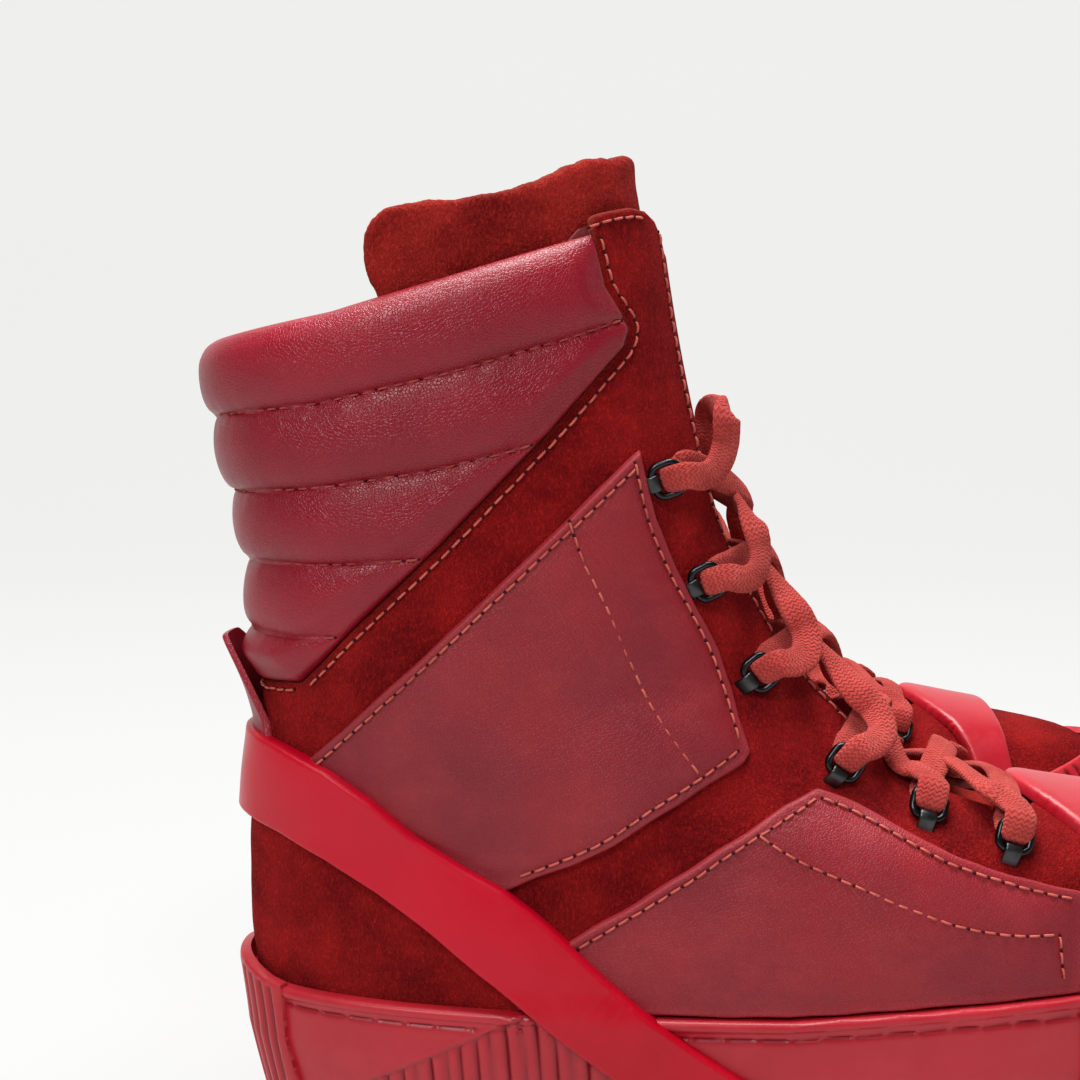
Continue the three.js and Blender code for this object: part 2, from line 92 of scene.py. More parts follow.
soft_lamp("overhead_lamp", (-0.1, 0.0, 1.3), (0, -0.05, 0.1), 0.8, 26)
soft_lamp("front_lamp", (-0.6, -1.2, 1.2), (0, 0, 0.12), 0.7, 15)


# Shader maths: a wire is one output of a material's nodes, and sums and products of wires add nodes.
class Wire:
    def __init__(self, finish, socket):
        self.finish, self.socket = finish, socket

    def maths(self, operation, first, second):
        return self.finish.node("ShaderNodeMath", {"operation": operation}, {0: first, 1: second})

    def __add__(self, other):
        return self.maths("ADD", self, other)

    def __sub__(self, other):
        return self.maths("SUBTRACT", self, other)

    def __rsub__(self, other):
        return self.maths("SUBTRACT", other, self)

    def __mul__(self, other):
        return self.maths("MULTIPLY", self, other)

    def fold(self, top):
        """Runs up to top and back down again, over and over."""
        return self.maths("PINGPONG", self, top)

    __radd__, __rmul__ = __add__, __mul__


def rgba(colour):
    return (*colour, 1) if isinstance(colour, tuple) else colour


class Finish:
    """A material, built from its fixed shader values and then whatever nodes feed it."""

    def __init__(self, name, **fixed):
        self.material = bpy.data.materials.new(name)
        self.material.use_nodes = True
        self.tree = self.material.node_tree
        self.shader = self.tree.nodes["Principled BSDF"]
        for socket, value in fixed.items():
            self.shader.inputs[socket.replace("_", " ")].default_value = rgba(value)

    def node(self, kind, settings=None, inputs=None, output=0):
        made = self.tree.nodes.new(kind)
        for key, value in (settings or {}).items():
            if key == "stops":
                self.set_stops(made.color_ramp, value)
            else:
                setattr(made, key, value)
        for key, value in (inputs or {}).items():
            if isinstance(value, Wire):
                self.tree.links.new(value.socket, made.inputs[key])
            else:
                made.inputs[key].default_value = value
        return Wire(self, made.outputs[output])

    def set_stops(self, ramp, stops):
        while len(ramp.elements) < len(stops):
            ramp.elements.new(0.5)
        for element, (place, value) in zip(ramp.elements, stops):
            element.position = place
            element.color = (value, value, value, 1)

    def feed(self, socket, wire):
        self.tree.links.new(wire.socket, self.shader.inputs[socket])
        return self

    def place(self):
        return self.node("ShaderNodeTexCoord", output="Object")

    def noise(self, scale, detail=3, roughness=0.55, stretch=None):
        where = self.place()
        if stretch:
            where = self.node("ShaderNodeVectorMath", {"operation": "MULTIPLY"}, {0: where, 1: stretch})
        values = {"Vector": where, "Scale": scale, "Detail": detail, "Roughness": roughness}
        return self.node("ShaderNodeTexNoise", None, values)

    def steps(self, wire, stops):
        return self.node("ShaderNodeValToRGB", {"stops": stops}, {0: wire})

    def mix(self, share, first, second):
        colours = {0: share, 6: rgba(first), 7: rgba(second)}
        return self.node("ShaderNodeMix", {"data_type": "RGBA"}, colours, output=2)

    def stored(self, name):
        return self.node("ShaderNodeAttribute", {"attribute_name": name}, output="Fac")

    def bump(self, height, distance, strength=1.0):
        values = {"Height": height, "Distance": distance, "Strength": strength}
        return self.node("ShaderNodeBump", None, values)


paper = Finish("studio_paper", Base_Color=(0.08, 0.08, 0.079), Roughness=1.0, Specular_IOR_Level=0.0,
               Emission_Color=(0.93, 0.93, 0.92), Emission_Strength=0.88)


def paper_sweep():
    rows = [(-4.0, 0.0)] + [(1.6 + math.sin(a) * 0.8, 0.8 - math.cos(a) * 0.8)
                            for a in np.linspace(0, math.pi / 2, 12)] + [(2.4, 4.0)]
    corners = [(x, y, z) for y, z in rows for x in (-5.0, 5.0)]
    faces = [(2 * i, 2 * i + 1, 2 * i + 3, 2 * i + 2) for i in range(len(rows) - 1)]
    mesh = bpy.data.meshes.new("paper_sweep")
    mesh.from_pydata(corners, [], faces)
    mesh.materials.append(paper.material)
    mesh.shade_smooth()
    sweep = bpy.data.objects.new("paper_sweep", mesh)
    bpy.context.scene.collection.objects.link(sweep)


paper_sweep()

# ------------------------------------------------------------------ the last
# The wooden form that the upper is pulled over. Every layer of the boot is cut from its surface:
# a point is an angle round it (0 at the toe, half a turn at the heel) and a height above ground.
# Each row: height, heel, toe or instep, widest point, half width, fullness ahead and behind.
LEVELS = np.array([
    (0, 6, 300, 192, 46, 2.3, 2.4),
    (28, 4.5, 302, 192, 47, 2.3, 2.4),
    (45, 2.5, 302, 190, 47, 2.3, 2.4),
    (60, 0.4, 301, 184, 45.5, 2.25, 2.4),
    (75, 0.3, 295, 168, 43, 2.15, 2.3),
    (86, 0.4, 280, 145, 41, 2.05, 2.25),
    (93, 1, 238, 120, 40, 1.95, 2.2),
    (102, 2, 200, 100, 39, 1.9, 2.2),
    (115, 3.5, 183, 85, 38, 1.9, 2.2),
    (130, 5, 165, 72, 37, 1.9, 2.2),
    (150, 5.5, 149, 64, 37, 2.0, 2.2),
    (175, 2.5, 136, 60, 37.5, 2.1, 2.2),
    (205, -4, 127.8, 56, 39, 2.2, 2.2),
    (235, -9, 121.8, 54, 41, 2.2, 2.2),
    (285, -16, 114.5, 52, 42, 2.2, 2.2)])
TOE_TURN = 7
EASE = 4.0


def level_curve(column):
    z, v = LEVELS[:, 0], LEVELS[:, column]
    step = np.diff(z)
    rise = np.diff(v) / step
    slope = np.concatenate([rise[:1], np.zeros(len(z) - 2), rise[-1:]])
    product, total = rise[:-1] * rise[1:], rise[:-1] + rise[1:]
    slope[1:-1] = np.where(product > 0, 2 * product / np.where(total == 0, 1, total), 0)

    def exact(height):
        h = np.clip(height, z[0], z[-1])
        i = np.clip(np.searchsorted(z, h) - 1, 0, len(step) - 1)
        t = (h - z[i]) / step[i]
        return ((2 * t**3 - 3 * t**2 + 1) * v[i] + (t**3 - 2 * t**2 + t) * step[i] * slope[i]
                + (3 * t**2 - 2 * t**3) * v[i + 1] + (t**3 - t**2) * step[i] * slope[i + 1])

    return lambda height: (exact(height - EASE) + 2 * exact(height) + exact(height + EASE)) / 4


heel_at, toe_at, middle_at, half_width, full_front, full_back = (level_curve(c) for c in range(1, 7))


def form_point(angle, z):
    """Points on the form's surface, in millimetres from the heel, the boot's middle and the ground."""
    angle, z = np.broadcast_arrays(np.asarray(angle, float), np.asarray(z, float))
    c, s = np.cos(angle), np.sin(angle)
    power = 2 / np.where(c >= 0, full_front(z), full_back(z))
    reach = np.where(c >= 0, toe_at(z) - middle_at(z), middle_at(z) - heel_at(z))
    x = middle_at(z) + np.sign(c) * reach * np.abs(c) ** power
    ahead = np.maximum(0, x / 150 - 1)
    y = -np.sign(s) * half_width(z) * np.abs(s) ** power + TOE_TURN * ahead**2
    return np.stack([x, y, z], -1)


def form_normal(angle, z):
    step = 0.01
    across = form_point(angle + step, z) - form_point(angle - step, z)
    upward = form_point(angle, z + 0.5) - form_point(angle, z - 0.5)
    n = np.cross(upward, across)
    return n / np.linalg.norm(n, axis=-1, keepdims=True)


def off_form(angle, z, offset):
    offset = np.broadcast_to(offset, np.broadcast(angle, z).shape)
    return form_point(angle, z) + form_normal(angle, z) * offset[..., None]


def side_angle(x, z, side=1):
    """The angle of the surface point seen at x, z in the side view; side is 1 outside, -1 inside."""
    ahead = x >= middle_at(z)
    reach = np.where(ahead, toe_at(z) - middle_at(z), middle_at(z) - heel_at(z))
    share = np.clip(np.abs(x - middle_at(z)) / reach, 0, 1)
    power = np.where(ahead, full_front(z), full_back(z)) / 2
    return side * np.arccos(np.where(ahead, 1, -1) * share**power)


# A sheet is cut from the form as a pattern piece is: triangles over angle and height, trimmed
# where a field falls below zero, then given its outer and inner faces and closed round the edge.
def smooth_step(x, low, high):
    t = np.clip((x - low) / (high - low), 0, 1)
    return t * t * (3 - 2 * t)


def from_outline(outline, x, z):
    """Distance inside a side-view outline, negative outside it."""
    points = np.array(outline, float)
    following = np.roll(points, -1, axis=0)
    nearest = np.full(np.shape(x), np.inf)
    inside = np.zeros(np.shape(x), bool)
    for (ax, az), (bx, bz) in zip(points, following):
        ex, ez = bx - ax, bz - az
        t = np.clip(((x - ax) * ex + (z - az) * ez) / (ex * ex + ez * ez), 0, 1)
        nearest = np.minimum(nearest, np.hypot(x - ax - t * ex, z - az - t * ez))
        if ez:
            crosses = ((az > z) != (bz > z)) & (x < ex * (z - az) / ez + ax)
            inside ^= crosses
    return np.where(inside, nearest, -nearest)


def rounded_path(points, step=0.5, closed=False):
    """A smooth curve through given points, sampled evenly."""
    p = np.array(points, float)
    if closed:
        p = np.vstack([p[-1], p, p[0], p[1]])
    else:
        p = np.vstack([2 * p[0] - p[1], p, 2 * p[-1] - p[-2]])
    t = np.linspace(0, 1, 24, endpoint=False)[:, None]
    pieces = []
    for a, b, c, d in zip(p[:-3], p[1:-2], p[2:-1], p[3:]):
        pieces.append(0.5 * (2 * b + (c - a) * t + (2 * a - 5 * b + 4 * c - d) * t**2
                             + (3 * b - a - 3 * c + d) * t**3))
    curve = np.vstack(pieces + ([] if closed else [p[-2:-1]]))
    length = np.concatenate([[0], np.cumsum(np.linalg.norm(np.diff(curve, axis=0), axis=1))])
    at = np.linspace(0, length[-1], max(2, int(round(length[-1] / step)) + 1))
    return np.stack([np.interp(at, length, curve[:, k]) for k in range(curve.shape[1])], 1)


def ripple(points, wavelength, seed):
    """Smooth noise of about unit size from a few crossed waves."""
    rng = np.random.default_rng(seed)
    total = 0
    for _ in range(7):
        way = rng.normal(size=3)
        way *= rng.uniform(0.7, 1.5) / np.linalg.norm(way) * 2 * math.pi / wavelength
        total = total + np.sin(points @ way + rng.uniform(0, 6.28))
    return total / 3.5


class Sheet:
    """Triangles over the form. at holds each vertex's angle and height."""

    def __init__(self, z_range, step, start=0.0, stop=2 * math.pi):
        levels = np.linspace(z_range[0], z_range[1], int((z_range[1] - z_range[0]) / step) + 2)
        fine = np.linspace(start, stop, 900)
        ring = form_point(fine[None, :], levels[:, None])
        run = np.linalg.norm(np.diff(ring, axis=1), axis=2).cumsum(1)
        run = np.hstack([np.zeros((len(levels), 1)), run])
        count = int(run[:, -1].max() / step) + 2
        share = np.linspace(0, 1, count)
        angles = np.array([np.interp(share * r[-1], r, fine) for r in run])
        self.at = np.stack([angles, np.repeat(levels[:, None], count, 1)], -1).reshape(-1, 2)
        i = np.arange(len(levels) - 1)[:, None] * count + np.arange(count - 1)[None, :]
        a, b, c, d = i, i + 1, i + count, i + count + 1
        self.tris = np.concatenate([np.stack(t, -1).reshape(-1, 3) for t in ((a, c, b), (b, c, d))])

    @property
    def side_view(self):
        p = form_point(self.at[:, 0], self.at[:, 1])
        return p[:, 0], p[:, 2]

    @property
    def points(self):
        return form_point(self.at[:, 0], self.at[:, 1])

    def score(self, field, keep=False):
        """Puts an edge along field = 0; keep throws away the part below it."""
        f = field(self)
        f = np.where(np.abs(f) < 1e-5, 1e-5, f)
        up = f > 0
        flags = up[self.tris]
        ups = flags.sum(1)
        whole = self.tris[(ups == 3) | (ups == 0)] if not keep else self.tris[ups == 3]
        mixed, marks = self.tris[(ups == 1) | (ups == 2)], flags[(ups == 1) | (ups == 2)]
        odd = np.where(marks.sum(1) == 1, marks.argmax(1), (~marks).argmax(1))
        row = np.arange(len(mixed))
        v0, v1, v2 = mixed[row, odd], mixed[row, (odd + 1) % 3], mixed[row, (odd + 2) % 3]
        pairs = np.sort(np.concatenate([np.stack([v0, v1], 1), np.stack([v0, v2], 1)]), axis=1)
        found, back = np.unique(pairs, axis=0, return_inverse=True)
        back = back.reshape(-1)
        t = (f[found[:, 0]] / (f[found[:, 0]] - f[found[:, 1]]))[:, None]
        new = self.at[found[:, 0]] * (1 - t) + self.at[found[:, 1]] * t
        m1, m2 = len(self.at) + back[: len(mixed)], len(self.at) + back[len(mixed):]
        self.at = np.vstack([self.at, new])
        tip = np.stack([v0, m1, m2], 1)
        base = np.concatenate([np.stack([m1, v1, v2], 1), np.stack([m1, v2, m2], 1)])
        lone_up = up[v0] if len(v0) else np.zeros(0, bool)
        if keep:
            self.tris = np.concatenate([whole, tip[lone_up], base[np.tile(~lone_up, 2)]])
        else:
            self.tris = np.concatenate([whole, tip, base])
        self.tidy()
        return self

    def tidy(self):
        used, back = np.unique(self.tris, return_inverse=True)
        self.at, self.tris = self.at[used], back.reshape(-1, 3)

    def trim(self, field, rounding=(0.25, 0.7, 1.4)):
        """Cuts along field = 0 and scores the edge's rounding beside it."""
        self.score(field, keep=True)
        for inset in rounding:
            self.score(lambda s: field(s) - inset)
        return self

    def trim_to(self, outline, rounding):
        """Trims to a side-view outline, and gives each point's distance inside it."""
        self.trim(lambda s: from_outline(outline, *s.side_view), rounding)
        return from_outline(outline, *self.side_view)

    def closed(self, outer, inner):
        """Vertices and faces of the sheet with both its faces, joined round every open edge."""
        key = np.round(outer, 3)
        _, first, back = np.unique(key, axis=0, return_index=True, return_inverse=True)
        back = back.reshape(-1)
        tris = back[self.tris]
        tris = tris[(tris[:, 0] != tris[:, 1]) & (tris[:, 1] != tris[:, 2]) & (tris[:, 0] != tris[:, 2])]
        outer, inner = outer[first], inner[first]
        n = len(outer)
        edges = np.concatenate([tris[:, [0, 1]], tris[:, [1, 2]], tris[:, [2, 0]]])
        _, index, count = np.unique(np.sort(edges, axis=1), axis=0, return_index=True, return_counts=True)
        a, b = edges[index[count == 1]].T
        rim = np.concatenate([np.stack([b, a, a + n], 1), np.stack([b, a + n, b + n], 1)])
        faces = np.concatenate([tris, tris[:, ::-1] + n, rim])
        return np.vstack([outer, inner]), faces, np.concatenate([first, first])

    def layer(self, outer, inner):
        """The closed sheet between two distances off the form."""
        return self.closed(off_form(*self.at.T, outer), off_form(*self.at.T, inner))


def rim_round(d, radius):
    """The share of full thickness at a distance from a cut edge."""
    t = np.clip(d / radius, 0, 1)
    return np.sqrt(np.clip(1 - (1 - t) ** 2, 0, 1))


def add_mesh(name, corners, faces, finish, sharp=50, **stored):
    mesh = bpy.data.meshes.new(name)
    mesh.vertices.add(len(corners))
    mesh.vertices.foreach_set("co", np.asarray(corners, np.float32).ravel())
    faces = np.asarray(faces, np.int32)
    mesh.loops.add(faces.size)
    mesh.loops.foreach_set("vertex_index", faces.ravel())
    mesh.polygons.add(len(faces))
    width = faces.shape[1]
    mesh.polygons.foreach_set("loop_start", np.arange(0, faces.size, width, dtype=np.int32))
    mesh.update(calc_edges=True)
    mesh.validate()
    for key, values in stored.items():
        attribute = mesh.attributes.new(key, "FLOAT", "POINT")
        attribute.data.foreach_set("value", np.asarray(values, np.float32))
    mesh.shade_smooth()
    mesh.set_sharp_from_angle(angle=math.radians(sharp))
    mesh.materials.append(finish.material)
    made = bpy.data.objects.new(name, mesh)
    bpy.context.scene.collection.objects.link(made)
    return made


def both_boots(piece, corners, faces, finish, slot, nodes=(), body="boot", sharp=50, **stored):
    """The piece on the right boot and its mirror image on the left one, each riding its own body."""
    made = []
    faces = np.asarray(faces)
    for side, turn in (("right", 1), ("left", -1)):
        placed = np.asarray(corners) * (1, turn, 1) * MM + (heel_x, middle_y[side], 0)
        order = faces if side == "right" else faces[:, ::-1]
        ob = add_mesh(f"{side}_{piece}", placed, order, finish, sharp, **stored)
        if nodes:
            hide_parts(*(f"{side}_{node}" for node in nodes))
        if body:
            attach(ob, f"{side}_{body}")
        made.append(ob)
    return made


# ------------------------------------------------------------------ suede upper
# The shaft, quarters and vamp are one shell of napped suede, cut away for the collar and slit
# down the front for the lace. Its cut edges are left raw, so the lighter, fuzzy core shows.
SUEDE = 2.4
GAP = 0.3
SHAFT_TOP = [(-30, 219), (-12, 223), (30, 231), (61, 240), (92, 251), (96, 255.5), (101, 257.3),
             (108.5, 259.3), (113, 259), (115.8, 257), (117.6, 253.5), (119, 249), (150, 249)]
COLLAR_FRONT = [(98, 251), (101, 238), (105.5, 231), (107.5, 227), (106, 222), (100, 215), (87, 200),
                (72, 184.5), (58, 170), (46, 158.5), (34, 147), (26, 138.5), (19, 131.5), (8, 130),
                (-30, 130)]
THROAT = [(100, 3.5), (127.5, 3.5), (133, 6), (140, 8), (152, 9), (165, 10.5), (190, 15), (207, 18),
          (215, 18.5), (221, 16), (225, 10), (227, 0)]


def below_line(line, x, z):
    """Distance below a line that runs across the side view."""
    lx, lz = np.array(line, float).T
    return np.interp(x, lx, lz) - z


def throat_field(s):
    p = s.points
    lace_gap = from_outline(THROAT + [(x, -y) for x, y in reversed(THROAT[:-1])], p[:, 0], p[:, 1])
    return -np.minimum(lace_gap, p[:, 2] - 70)


def collar_hole(x, z, front=98):
    return from_outline([(-60, 300), (front, 300)] + COLLAR_FRONT + [(-60, 130)], x, z)


def upper_field(s):
    x, z = s.side_view
    return np.minimum(np.minimum(below_line(SHAFT_TOP, x, z), -collar_hole(x, z)), throat_field(s))


def suede(name, dark, nap_tone_and_highlight, glow, sheen):
    """Napped leather: patches of darker and brighter pile, partly the suede's own mottling and partly
    painted light and shade of the nap, with fine flecks of painted highlight on the pile and pale raw
    edges.
    """
    f = Finish(name, Roughness=0.92, Specular_IOR_Level=0.06, Sheen_Weight=sheen, Sheen_Roughness=0.45,
               Sheen_Tint=glow)
    nap_patches_and_shade = f.steps(f.noise(48, 4, 0.6), [(0.36, 0.0), (0.66, 1.0)])
    pile = f.steps(f.noise(980, 3, 0.8, (1.4, 1, 0.8)), [(0.4, 0.0), (0.64, 1.0)])
    fuzz = f.noise(2300, 2, 0.7, (1.4, 1, 0.6))
    # Painted light: the lighter tone is partly the pile's own colour and partly painted highlight on the
    # nap.
    tone = f.mix(nap_patches_and_shade * 0.46 + pile * 0.42 + fuzz * 0.3 - 0.15, dark, nap_tone_and_highlight)
    edge = f.stored("edge")
    raw = f.steps(edge + (fuzz - 0.5) * 0.9, [(0.0, 1.0), (1.0, 0.0)])
    tone = f.mix(raw * 0.8, tone, (0.42, 0.07, 0.045))
    f.feed("Base Color", tone)
    return f.feed("Normal", f.bump(pile + fuzz, 0.0009, 1.0))


# Its lighter colour stands partly for painted highlight on the nap.
upper_suede = suede("red_suede", (0.17, 0.0012, 0.005), (0.70, 0.020, 0.020), (1.0, 0.2, 0.15), 0.07)

upper = Sheet((26, 264), 1.7)
upper.trim(upper_field, (0.5, 1.3))
edge_distance = upper_field(upper)
upper_wave = ripple(upper.points, 34, 3) * 0.35 + ripple(upper.points, 13, 4) * 0.1
face = (rim_round(edge_distance, 1.3) - 1) * 0.9 + upper_wave * smooth_step(edge_distance, 0, 8)
corners, faces, source = upper.layer(face, -SUEDE)
both_boots("suede_upper", corners, faces, upper_suede, "suede", ["suede_upper"],
           edge=edge_distance[source])

# ------------------------------------------------------------------ lining and footbed
# Thin matt leather glued inside the shaft and foot, and a leather-covered foam footbed that
# drops in on the lasting board.
LINING = 2.0


def mottled(name, scale, dark, light, detail=3, grain=None, **fixed):
    """A plain finish whose colour drifts between two tones, with a fine grain where it has one."""
    f = Finish(name, **fixed)
    f.feed("Base Color", f.mix(f.noise(scale, detail), dark, light))
    if grain:
        f.feed("Normal", f.bump(f.noise(grain[0]), grain[1]))
    return f


lining_finish = mottled("lining_leather", 60, (0.13, 0.012, 0.014), (0.22, 0.025, 0.025), 4,
                        (900, 0.0002), Roughness=0.7)


def lining_field(s):
    x, z = s.side_view
    return np.minimum(below_line(SHAFT_TOP, x, z) - 2.5, throat_field(s) - 0.4)


inside = Sheet((31, 262), 2.6)
inside.trim(lining_field, (0.8,))
corners, faces, source = inside.layer(-SUEDE - GAP, -SUEDE - GAP - LINING)
both_boots("shaft_lining", corners, faces, lining_finish, "lining", ["lining"])

footbed_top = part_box("right_footbed")[1].z / MM
footbed_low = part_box("right_footbed")[0].z / MM
footbed_finish = mottled("footbed_leather", 45, (0.10, 0.01, 0.012), (0.2, 0.03, 0.028), 5,
                         (1100, 0.00025), Roughness=0.62)


def footbed_piece():
    """A level pad whose rows shrink from the outline to its middle line, crowned at the edge."""
    around = np.linspace(0, 2 * math.pi, 160, endpoint=False)
    outline = off_form(around, np.full(160, 40.0), -SUEDE - 2 * GAP)
    spine = outline * (1, 0, 1)
    spine[:, 0] = np.clip(outline[:, 0], 42, 255)
    under = [(0, 0), (0.9, 0), (1, 0.6)]
    over = [(1, -1.1), (0.985, -0.3), (0.96, 0), (0.8, -0.25), (0.5, -0.7), (0.2, -0.9), (0, -0.9)]
    rows = []
    for share, z in ([(share, footbed_low + up) for share, up in under]
                     + [(share, footbed_top + down) for share, down in over]):
        row = spine + (outline - spine) * share
        row[:, 2] = z
        rows.append(row)
    return rows


def rows_mesh(rows):
    """Quads between closed rows of points."""
    n = len(rows[0])
    corners = np.vstack(rows)
    k = np.arange(n)
    faces = [np.stack([r * n + k, r * n + (k + 1) % n, (r + 1) * n + (k + 1) % n, (r + 1) * n + k], 1)
             for r in range(len(rows) - 1)]
    return corners, np.vstack(faces)


corners, faces = rows_mesh(footbed_piece())
both_boots("leather_footbed", corners, faces[:, ::-1], footbed_finish, "footbed", ["footbed"])
board_finish = mottled("fibre_board", 300, (0.30, 0.22, 0.15), (0.42, 0.33, 0.24), Roughness=0.9)
for side in ("right", "left"):
    frame["nodes"][f"{side}_lasting_board"].data.materials[0] = board_finish.material

# ------------------------------------------------------------------ quilted collar
# Fine-grained leather over foam, stitched through into five padded rolls. The top roll is turned
# over the edge; the front and lower edges are sewn down against the suede.
COLLAR_TOP = [(-30, 219), (-12, 223), (30, 231), (61, 240), (92, 249.5), (100, 252)]
SEAMS = [[(-30, 203), (-6, 204), (27, 207.5), (61, 215.5), (90, 224), (103, 228.5), (115, 232)],
         [(-30, 183), (-2, 183.4), (26, 185.5), (56, 190), (80, 196), (110, 206)],
         [(-30, 164), (2, 164.4), (29, 165), (49, 166.3), (80, 169)],
         [(-30, 145.5), (4, 144.7), (20, 144.4), (32, 145), (60, 146)]]
COLLAR_LOW = [(-30, 130), (8, 130), (19, 131.5), (60, 131.5)]
ROLL, VALLEY = 6.2, 3.0


def collar_field(s):
    x, z = s.side_view
    return np.minimum(collar_hole(x, z, 98.2) - 0.15, below_line(COLLAR_TOP, x, z))


def seam_heights(x):
    return np.stack([np.interp(x, *np.array(line, float).T) for line in [COLLAR_TOP, *SEAMS, COLLAR_LOW]])


def collar_ease(x, z, points):
    """How far the padding has risen from the sewn front edge, and the leather's slow unevenness."""
    front = smooth_step(collar_hole(x, z, 98.2), 0, 9)
    return front, (ripple(points * (1, 1, 0.5), 26, 12) * 0.3 + ripple(points, 70, 13) * 0.45) * front


def valley_face(x, z, points):
    front, drag = collar_ease(x, z, points)
    return VALLEY * (0.625 + 0.375 * front) + drag - 0.12


def collar_face(s):
    """How far the padded leather stands off the form, roll by roll."""
    x, z = s.side_view
    lines = seam_heights(x)
    p = s.points
    height = np.full(len(x), VALLEY)
    nearest = np.full(len(x), 99.0)
    for k in range(len(lines) - 1):
        high, low = lines[k], lines[k + 1]
        t = np.clip((z - low) / (high - low), 0, 1)
        within = (z <= high) & (z >= low)
        crown = (1 - np.abs(2 * t**0.78 - 1) ** 2.1) ** 0.85
        height = np.where(within, VALLEY + (ROLL - VALLEY) * crown, height)
        if k:
            nearest = np.minimum(nearest, np.abs(z - high))
    front, drag = collar_ease(x, z, p)
    height = VALLEY * 0.5 + (height - VALLEY * 0.5) * (0.25 + 0.75 * front)
    pucker = ripple(p * (1, 1, 0.3), 6.5, 11) * 0.16 * np.exp(-(nearest / 4.5) ** 2)
    return height + pucker * front + drag, nearest


collar = Sheet((124, 256), 1.25, 0.35, 2 * math.pi - 0.35)
collar.trim(collar_field, (0.5, 1.2, 2.4))
for line in SEAMS:
    for sign in (1, -1):
        collar.score(lambda s: sign * below_line(line, *s.side_view) - 0.7)
height, seam_distance = collar_face(collar)
edge_distance = collar_field(collar)
top_round = rim_round(below_line(COLLAR_TOP, *collar.side_view), 6.0)
height = height * rim_round(edge_distance, 1.6) * (0.15 + 0.85 * top_round)
height -= 0.35 * np.exp(-(seam_distance / 0.7) ** 2)
corners, faces, source = collar.layer(height, -SUEDE - 0.2)


def grained(name, dark, light, scuff, rough, wear=0.35):
    """Leather with a fine pebble grain, slow colour changes and rubbed, paler patches."""
    f = Finish(name, Specular_IOR_Level=0.42)
    pebbles = f.node("ShaderNodeTexVoronoi", {"feature": "DISTANCE_TO_EDGE"},
                     {"Vector": f.place(), "Scale": 1150.0})
    grain = f.steps(pebbles, [(0.0, 0.0), (0.16, 1.0)])
    slow = f.steps(f.noise(22, 4, 0.6), [(0.3, 0.0), (0.7, 1.0)])
    rubbed = f.steps(f.noise(55, 6, 0.65, (1, 1, 1.8)), [(0.5, 0.0), (0.82, 1.0)])
    tone = f.mix(slow, dark, light)
    tone = f.mix(rubbed * wear, tone, scuff)
    tone = f.mix((1 - grain) * 0.25, tone, tuple(c * 0.5 for c in dark))
    near = f.steps(f.stored("edge") * 0.5, [(0.0, 1.0), (1.0, 0.0)])
    tone = f.mix(near * 0.45, tone, scuff)
    f.feed("Base Color", tone)
    f.feed("Roughness", (f.noise(130, 3) - 0.5) * 0.12 + rubbed * 0.06 + rough)
    return f.feed("Normal", f.bump(grain + f.noise(3200, 2) * 0.4, 0.0001, 0.6))


collar_leather = grained("collar_leather", (0.21, 0.0004, 0.010), (0.30, 0.0008, 0.014),
                         (0.37, 0.008, 0.026), 0.36, 0.18)
for ob in both_boots("quilted_collar", corners, faces, collar_leather, "collar_leather",
                     ["quilted_collar"],
                     edge=(edge_distance + 3)[source]):
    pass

# ------------------------------------------------------------------ tongue
# Two thicknesses of suede over thin foam, wide enough to wrap back inside the collar. Its top
# stands clear of the shaft and bends forward; its edges are cut raw.
TONGUE = rounded_path([
    (44, 221), (41.8, 233), (38.4, 240), (37.2, 246.5), (38.4, 252.8), (43, 257.2), (50, 259),
                       (58, 259.8),
    (67, 260.8), (77, 262.8), (86, 266), (92, 268.8), (99, 271.8), (107, 273.4), (128, 274.5), (160, 240),
    (160, 180), (210, 140), (250, 110), (240, 84), (205, 78), (150, 84), (132, 110), (112, 150),
                       (92, 190),
    (70, 215)], 2.0, closed=True)
TONGUE_OUT = -5.2
TONGUE_THICK = 5.2


def tongue_field(s):
    x, z = s.side_view
    p = s.points
    return from_outline(TONGUE, x, z) + ripple(p, 9, 21) * 0.28 + ripple(p, 2.5, 22) * 0.16


# The tongue's lighter colour also stands partly for painted highlight on the nap.
tongue_suede = suede("tongue_suede", (0.20, 0.002, 0.005), (0.80, 0.045, 0.034), (1.0, 0.25, 0.18), 0.10)
tongue = Sheet((76, 284), 1.6, -1.9, 1.9)
tongue.trim(tongue_field, (0.5, 1.3, 2.4))
edge_distance = tongue_field(tongue)
swell = ripple(tongue.points, 30, 23) * 0.5 + ripple(tongue.points, 8, 24) * 0.12
pinch = TONGUE_THICK / 2 * (1 - rim_round(edge_distance, 2.4)) * 0.8
corners, faces, source = tongue.layer(TONGUE_OUT - pinch + swell * smooth_step(edge_distance, 0, 6),
                                      TONGUE_OUT - TONGUE_THICK + pinch)


def bend_between(pair):
    """Bakes the placement of each of a pair of pieces into its mesh; no bend onto the moving part is set
    up.
    """
    for ob, side in zip(pair, ("right", "left")):
        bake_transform(ob)


tongues = both_boots("tongue", corners, faces, tongue_suede, "suede", ["tongue", "tongue_top"], body=None,
                     edge=edge_distance[source])
bend_between(tongues)

